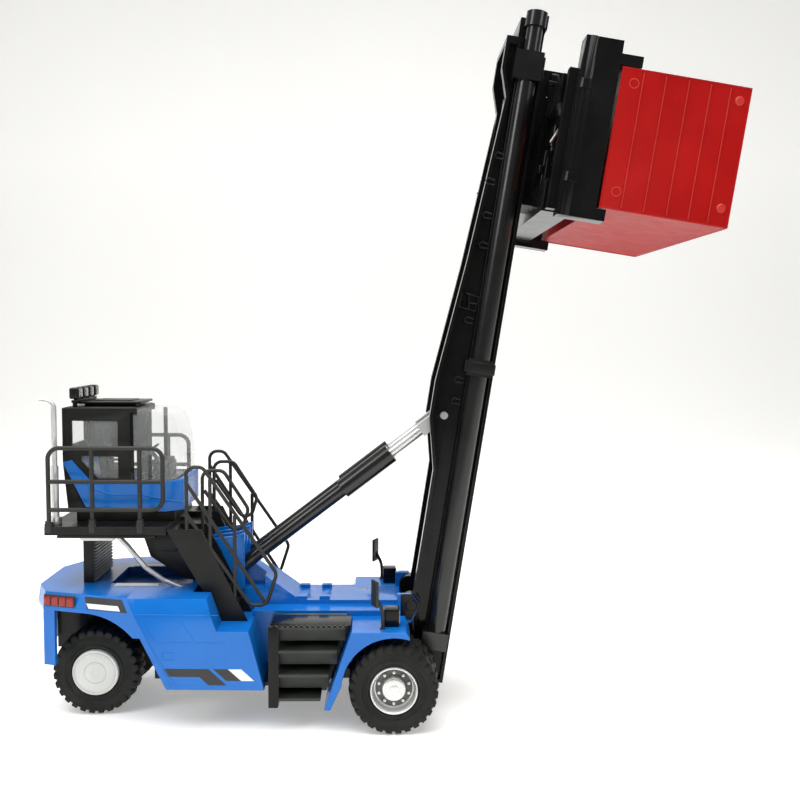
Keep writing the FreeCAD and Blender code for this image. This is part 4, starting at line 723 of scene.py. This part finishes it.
# %% Roof lamps
LAMP_PITCH = 7.6
lamps, lamp_glass = bmesh.new(), bmesh.new()
for place in (-1.5, -0.5, 0.5, 1.5):
    y = place * LAMP_PITCH
    block(lamps, (-136.3, -132.2), (y - 2.5, y + 2.5), (132.4, 137.1), 0.7)
    block(lamps, (-135.0, -133.4), (y - 0.7, y + 0.7), (130.4, 132.6), 0.2)
    block(lamp_glass, (-132.5, -131.9), (y - 2.0, y + 2.0), (132.9, 136.6), 0.3)
block(lamps, (-135.0, -133.4), (-15.0, 15.0), (130.9, 132.0), 0.25)
for y in (-12.6, 12.6):
    block(lamps, (-135.2, -133.2), (y - 0.25, y + 0.25), (128.9, 131.6), 0.2)
piece_from("roof_lamp_boxes", lamps, black_satin, "truck", replaces=["roof_lamps"])
piece_from("roof_lamp_glass", lamp_glass, lens_clear, "truck")

# %% [markdown]
# ## Seat and controls
#
# Through the glass one sees a seat with armrests and a desk with a steering wheel.  They are
# simple rounded blocks, because the glass hides anything finer.

# %% Seat and controls
seat = bmesh.new()
block(seat, (-126.6, -115.6), (-5.4, 5.4), (98.0, 101.6), 1.4)
back = [(-127.0, 100.5), (-122.4, 100.5), (-124.2, 112), (-125.0, 118.6), (-126.8, 118.6), (-127.2, 110)]
round_off(seat, slab(seat, back, (-4.4, 4.4)), 0.7)
for sign in (1, -1):
    block(seat, (-125.0, -117.5), sorted((sign * 5.5, sign * 6.6)), (105.4, 106.4), 0.4)
    block(seat, (-125.0, -123.8), sorted((sign * 5.3, sign * 6.4)), (101, 106), 0.3)
block(seat, (-124.5, -117.0), (-4.0, 4.0), (87.1, 98.6), 0.8)
piece_from("driver_seat", seat, seat_grey, "truck", replaces=["cab_seat"])
desk = bmesh.new()
block(desk, (-103.5, -96.4), (-8.0, 8.0), (87.1, 104.6), 0.9)
block(desk, (-104.3, -97.4), (-8.8, 8.8), (104.2, 105.8), 0.6)
SPOKES = 3
WHEEL_CENTRE = (-106.2, 0, 109.4)
cylinder(desk, 0.9, (-102.6, 0, 105), WHEEL_CENTRE, 16)
wheel = spun([(4.1, -0.4), (4.5, -0.4), (4.5, 0.4), (4.1, 0.4)], 40, close=True)
for index in range(SPOKES):
    angle = index * 2 * math.pi / SPOKES
    cylinder(wheel, 0.35, (0, 0, 0), (4.2 * math.cos(angle), 0, 4.2 * math.sin(angle)), 8)
rotate(wheel, wheel.verts, math.radians(90), "X")
rotate(wheel, wheel.verts, math.radians(-35), "Y")
bmesh.ops.translate(wheel, verts=wheel.verts, vec=WHEEL_CENTRE)
piece_from("steering_wheel", wheel, black_satin, "truck")
piece_from("driver_desk", desk, black_satin, "truck", replaces=["control_console"])

# %% [markdown]
# ## Under the cab
#
# A column with a slatted front carries the cab.  Behind the stairs hangs a dark casing with a
# sloping underside, and a thin plate with ribs lies under the platform.

# %% Louvre, casing and ribs
louvre = bmesh.new()
SLATS, SLAT_PITCH = 12, 1.4
for index in range(SLATS):
    z = 55.2 + index * SLAT_PITCH
    verts = block(louvre, (-127.7, -126.6), (-12.4, 12.4), (z, z + 0.75))
    for vert in verts:
        vert.co.z -= 0.35 if vert.co.x > -127 else 0
piece_from("column_slats", louvre, louvre_grey_and_recess_shade, "truck", soft=0.08)
casing = bmesh.new()
under = [(-107.6, 77.4), (-83.2, 77.4), (-74.6, 60.4), (-76.4, 55.0), (-88.8, 55.4), (-103.6, 65.2)]
round_off(casing, slab(casing, under, (-12.6, 12.6)), 0.6)
block(casing, (-102, -92), (-13.0, 13.0), (67.5, 75.5), 0.4)
piece_from("stair_casing", casing, black_satin, "truck")
deck_trim = bmesh.new()
block(deck_trim, (-138, -98), (-26.9, 26.9), (76.2, 77.3), 0.3)
for y in (-18, 0, 18):
    block(deck_trim, (-136, -100), (y - 1.5, y + 1.5), (75.4, 76.4), 0.3)
piece_from("deck_ribs", deck_trim, black_satin, "truck")

# %% [markdown]
# ## Covers, railing feet and steps
#
# Small parts finish the joints of the big ones: a dark cover on each lug at the foot of the mast,
# a bolted foot under each railing post, and a row of teeth along the right side's top step.

# %% Dark covers on the mast's lugs
covers = bmesh.new()
slab(covers, [(3.1, 39.9), (3.1, 50.8), (7.5, 50.8), (11.4, 46), (7.6, 39.9)], (19.3, 19.8))
cylinder(covers, 2.6, (7.5, 19.6, 46), (7.5, 20.3, 46), 32, 2.2)
piece_from("lug_covers", both_sides(covers), black_gloss, "truck", soft=0.12)

# %% Feet of the railings
feet = bmesh.new()
for x in (-141.3, -123.6, -104.2):
    block(feet, (x - 1.6, x + 1.6), (24.4, 27.0), (80.9, 82.2), 0.3)
    for dx in (-1.0, 1.0):
        cylinder(feet, 0.35, (x + dx, 25, 82.1), (x + dx, 25, 82.6), 6)
    block(feet, (x - 1.2, x + 1.2), (26.2, 27.3), (78.4, 83.4), 0.3)
piece_from("railing_feet", both_sides(feet), rail_grey, "truck")

# %% Serrated top step on the right side
teeth = bmesh.new()
TEETH, TOOTH_PITCH = 14, 2.2
STEPS_REAR = -50.3
for index in range(TEETH):
    x = -48.6 + index * TOOTH_PITCH
    block(teeth, (x, x + 1.3), (39.4, 40.7), (43.1, 43.9), 0.15)
bmesh.ops.scale(teeth, verts=teeth.verts, vec=(1, -1, 1))
block(teeth, (-49.6, -17.4), (-39.6, -25.2), (43.55, 43.72), 0.05)
block(teeth, (STEPS_REAR, STEPS_REAR + 3.9), (-41.12, -40.9), (10.5, 43.4), 0.08)
piece_from("step_teeth", teeth, black_gloss, "truck")

# %% [markdown]
# ## Clamps on the mast
#
# Everything on the mast is modelled in its own frame, with Z along the rails.  The lift tubes
# have a clamp half way up and a ring at the top.

# %% Tube clamps and heads
TUBE_X, TUBE_Y = 12.3, 17.9
clamps = bmesh.new()
CLAMP_Z = (101.2, 105.8)
block(clamps, (6.2, 8.8), (16.4, 20.6), CLAMP_Z, 0.3)
block(clamps, (8.4, 18.4), (20.9, 22.5), CLAMP_Z, 0.35)
block(clamps, (17.3, 18.6), (16.6, 22.3), CLAMP_Z, 0.3)
cylinder(clamps, 4.35, (TUBE_X, TUBE_Y, 232.8), (TUBE_X, TUBE_Y, 233.9), 40)
piece_from("tube_clamps", both_sides(clamps), black_satin, "outer_mast", MAST)

# %% [markdown]
# ## Hose clips and flange ridges
#
# The channel's web carries small moulded hose clips and a little bracket, and thin ridges run
# along the flanges.  Each is an outline in the plane of the web, made as a round wire.

# %% Hose clips and flange ridges
WEB_Y = 16.75
CLIP_PLACES = [(3.4, 97.4), (3.6, 88.4), (3.6, 122.6), (5.2, 191.4), (3.2, 180.4), (4.2, 166.6), (4.6, 154.2)]
CLIP = [(3.2, 0.6), (0.4, 1.2), (-0.6, 0), (0.2, -1.2), (3.2, -1.2)]
BRACKET = [
    [(0.4, 133), (0, 127.4), (6.8, 126.6), (7.6, 132.6), (2.2, 133.4)],
    [(3.4, 133.2), (4.2, 126.8)],
    [(4.0, 129.8), (7.2, 129.6)],
]
outlines = [[(x + dx, z + dz) for dx, dz in CLIP] for x, z in CLIP_PLACES] + BRACKET
clips = [[(x, WEB_Y, z) for x, z in outline] for outline in outlines]
wires("hose_clips", with_mirror(clips), 0.32, black_satin, "outer_mast", MAST)
ridges = [
    [(17.6, WEB_Y, -24), (17.6, WEB_Y, 224)],
    [(8.1, WEB_Y, -22), (8.1, WEB_Y, 222)],
]
wires("flange_ridges", with_mirror(ridges), 0.22, black_satin, "outer_mast", MAST)

# %% [markdown]
# ## Details of the spreader
#
# Between the mast and the container sit the hooks, a short cylinder with its bright rod, and the
# posts with their collars.  They ride on the spreader, so they rise and fall with it.

# %% Spreader hooks, cylinder and posts
hooks = bmesh.new()
block(hooks, (21.4, 30.0), (13.6, 17.6), (222.6, 224.6), 0.5)
block(hooks, (22.0, 25.6), (13.6, 17.6), (223.8, 227.6), 0.8)
block(hooks, (27.4, 29.6), (13.6, 17.6), (218.8, 223.4), 0.7)
cylinder(hooks, 2.7, (28.2, 16.4, 214.4), (28.2, 16.4, 217.0), 32)
cylinder(hooks, 2.1, (28.2, 16.4, 196.4), (28.2, 16.4, 216.4), 32)
cylinder(hooks, 2.9, (28.2, 16.4, 198.2), (28.2, 16.4, 200.0), 32)
block(hooks, (24.6, 32.4), (13.8, 17.8), (176.4, 196.6), 0.8)
block(hooks, (25.8, 31.2), (17.4, 18.6), (179, 193.6), 0.5)
block(hooks, (23.2, 27.4), (13.8, 18.0), (186.4, 190.2), 0.6)
piece_from("spreader_hooks", both_sides(hooks), black_gloss, "carriage", MAST)
pins = bmesh.new()
for z in (180.8, 184.4, 191.0, 208.4):
    cylinder(pins, 0.9, (28.4, 17.6, z), (28.4, 19.3, z), 18)
piece_from("spreader_pins", both_sides(pins), black_satin, "carriage", MAST)
bright = bmesh.new()
cylinder(bright, 0.55, (26.0, 19.6, 199.4), (29.2, 19.6, 206.6), 16)
piece_from("spreader_rods", both_sides(bright), silver_paint, "carriage", MAST)

# %% [markdown]
# ## The container
#
# The container is a plain box with every face sunk inside a narrow border.  Upright beads run
# down its ends, its back and across its roof.  Each end also has two moulding rings and two
# studs.  Beads, rings and studs take a lighter red: a painted highlight along their glossy edges.

# %% Box and beads
BOX_X, BOX_Z = (41.2, 90.0), (169.3, 221.1)
BORDER, SUNK = 1.15, 0.5
END_BEADS = (49.6, 58.0, 66.6, 74.8, 82.2)
SIDE_BEADS = 14
BEAD_INSET = 1.1
shell_node = frame["nodes"]["container_shell"]
to_mast = MAST.inverted() @ shell_node.matrix_world
shell_corners = [to_mast @ Vector(corner) for corner in shell_node.bound_box]
box_half = max(corner.y for corner in shell_corners)
print("container half length:", box_half, "mm")


def bead_depth(face):
    """The limits of a bead that stands in the sunk panel of an outer face."""
    return face - SUNK - 0.1, face - 0.12


def within(limits, margin):
    """Two limits, each brought in by a margin."""
    return limits[0] + margin, limits[1] - margin


crate = bmesh.new()
block(crate, BOX_X, (-box_half, box_half), BOX_Z)
bmesh.ops.inset_individual(crate, faces=crate.faces[:], thickness=BORDER, depth=-SUNK)
piece_from("container_box", crate, container_red, "container", MAST, soft=0.22,
           replaces=["container_shell"])
beads = bmesh.new()
for x in END_BEADS:
    block(beads, (x - 0.2, x + 0.2), bead_depth(box_half), within(BOX_Z, BORDER))
both_sides(beads)
for index in range(SIDE_BEADS):
    y = (index + 0.5) * 2 * (box_half - 2) / SIDE_BEADS - (box_half - 2)
    block(beads, bead_depth(BOX_X[1]), (y - 0.25, y + 0.25), within(BOX_Z, BEAD_INSET))
    block(beads, within(BOX_X, BEAD_INSET), (y - 0.25, y + 0.25), bead_depth(BOX_Z[1]))
# The beads take the lighter red: painted highlight.
piece_from("container_beads", beads, highlight_red, "container", MAST, soft=0.08)

# %% Rings and studs
RING_RADIUS, RING_STEPS = 1.7, 24
STUD_RADIUS = 1.75
ring_angles = [step * 2 * math.pi / RING_STEPS for step in range(RING_STEPS + 1)]
rings = [[(x + RING_RADIUS * math.cos(angle), box_half - SUNK, z + RING_RADIUS * math.sin(angle))
          for angle in ring_angles] for x, z in ((46.6, 215.6), (46.8, 176.1))]
# Rings and studs take the lighter red too: painted highlight.
wires("container_rings", with_mirror(rings), 0.2, highlight_red, "container", MAST)
studs = bmesh.new()
for x, z in ((86.2, 215.8), (86.4, 176.4)):
    cylinder(studs, STUD_RADIUS, (x, box_half - 1.2, z), (x, box_half - 0.45, z), 32)
    cylinder(studs, STUD_RADIUS, (x, box_half - 0.45, z), (x, box_half - 0.05, z), 32, 1.3)
piece_from("container_studs", both_sides(studs), highlight_red, "container", MAST)

# %% [markdown]
# ## Softer edges on the CAD parts
#
# Die-cast metal and moulded plastic have no knife edges: each corner is rounded by a few tenths
# of a millimetre and catches the light.  The CAD meshes stay as they are.  A merged copy of each
# takes a bevel and stands for it.

# %% Rounded copies
body_of = {node: body for body, nodes in frame["record"]["behaviour"]["bodies"].items() for node in nodes}
FLAT_ANGLE = math.radians(0.05)


def rounded(node, material, width):
    """A copy of a CAD node with soft edges, which stands for the node."""
    bm = bmesh.new()
    bm.from_mesh(frame["nodes"][node].data)
    bmesh.ops.remove_doubles(bm, verts=bm.verts, dist=1e-6)
    bmesh.ops.dissolve_limit(bm, angle_limit=FLAT_ANGLE, verts=bm.verts, edges=bm.edges)
    mesh = bpy.data.meshes.new(node + "_soft")
    bm.to_mesh(mesh)
    bm.free()
    mesh.shade_smooth()
    mesh.set_sharp_from_angle(angle=SHARP_ANGLE)
    mesh.materials.append(material)
    piece = bpy.data.objects.new(node + "_soft", mesh)
    scene.collection.objects.link(piece)
    soften(piece, width)
    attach(piece, body_of[node])
    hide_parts(node)
    print(node, "rounded by", width, "mm")


ROUNDING = [
    (blue_paint, 0.7, ("counterweight",)),
    (blue_paint, 0.45, ("fender_l", "fender_r")),
    (blue_paint, 0.3, ("body_shell", "cab_shell")),
    (black_satin, 0.25, ("cab_frame", "cab_column", "platform_deck")),
    (black_satin, 0.18, ("stairs_l", "stairs_r")),
    (black_gloss, 0.2, ("chassis_pan", "outer_mast", "inner_mast", "carriage", "rear_axle_beam")),
    (step_grey, 0.2, ("side_steps_l", "side_steps_r")),
    (black_gloss, 0.2, ("spreader_beam", "spreader_arm_l", "spreader_arm_r")),
    (container_red, 0.15, ("container_doors",)),
]
for material, width, nodes in ROUNDING:
    for node in nodes:
        rounded(node, material, width)

# %% [markdown]
# ## CAD parts that stay as they are
#
# Round bars, tubes, pins and screws have no long sharp edges to soften.  They keep their CAD
# meshes and only take a finish.

# %% Finishes for the CAD parts that stay as they are
STAY = [
    (black_satin, ("tie_rod", "knuckle_l", "knuckle_r")),
    (tube_black, ("tilt_barrels",)),
    (rail_grey, ("handrails_l", "handrails_r", "platform_railing_l", "platform_railing_r")),
    (tube_black, ("lift_tubes", "lift_rods")),
    (silver_paint, ("tilt_rods", "exhaust_pipe", "brace_pipes", "column_cap")),
    (steel, ("front_axle", "kingpins", "chassis_screws", "tilt_base_pins", "tilt_mast_pins")),
    (black_gloss, ("mast_foot_pins",)),
]
for material, nodes in STAY:
    for node in nodes:
        mesh = frame["nodes"][node].data
        mesh.materials.clear()
        mesh.materials.append(material)
    print(material.name, "on", *nodes)
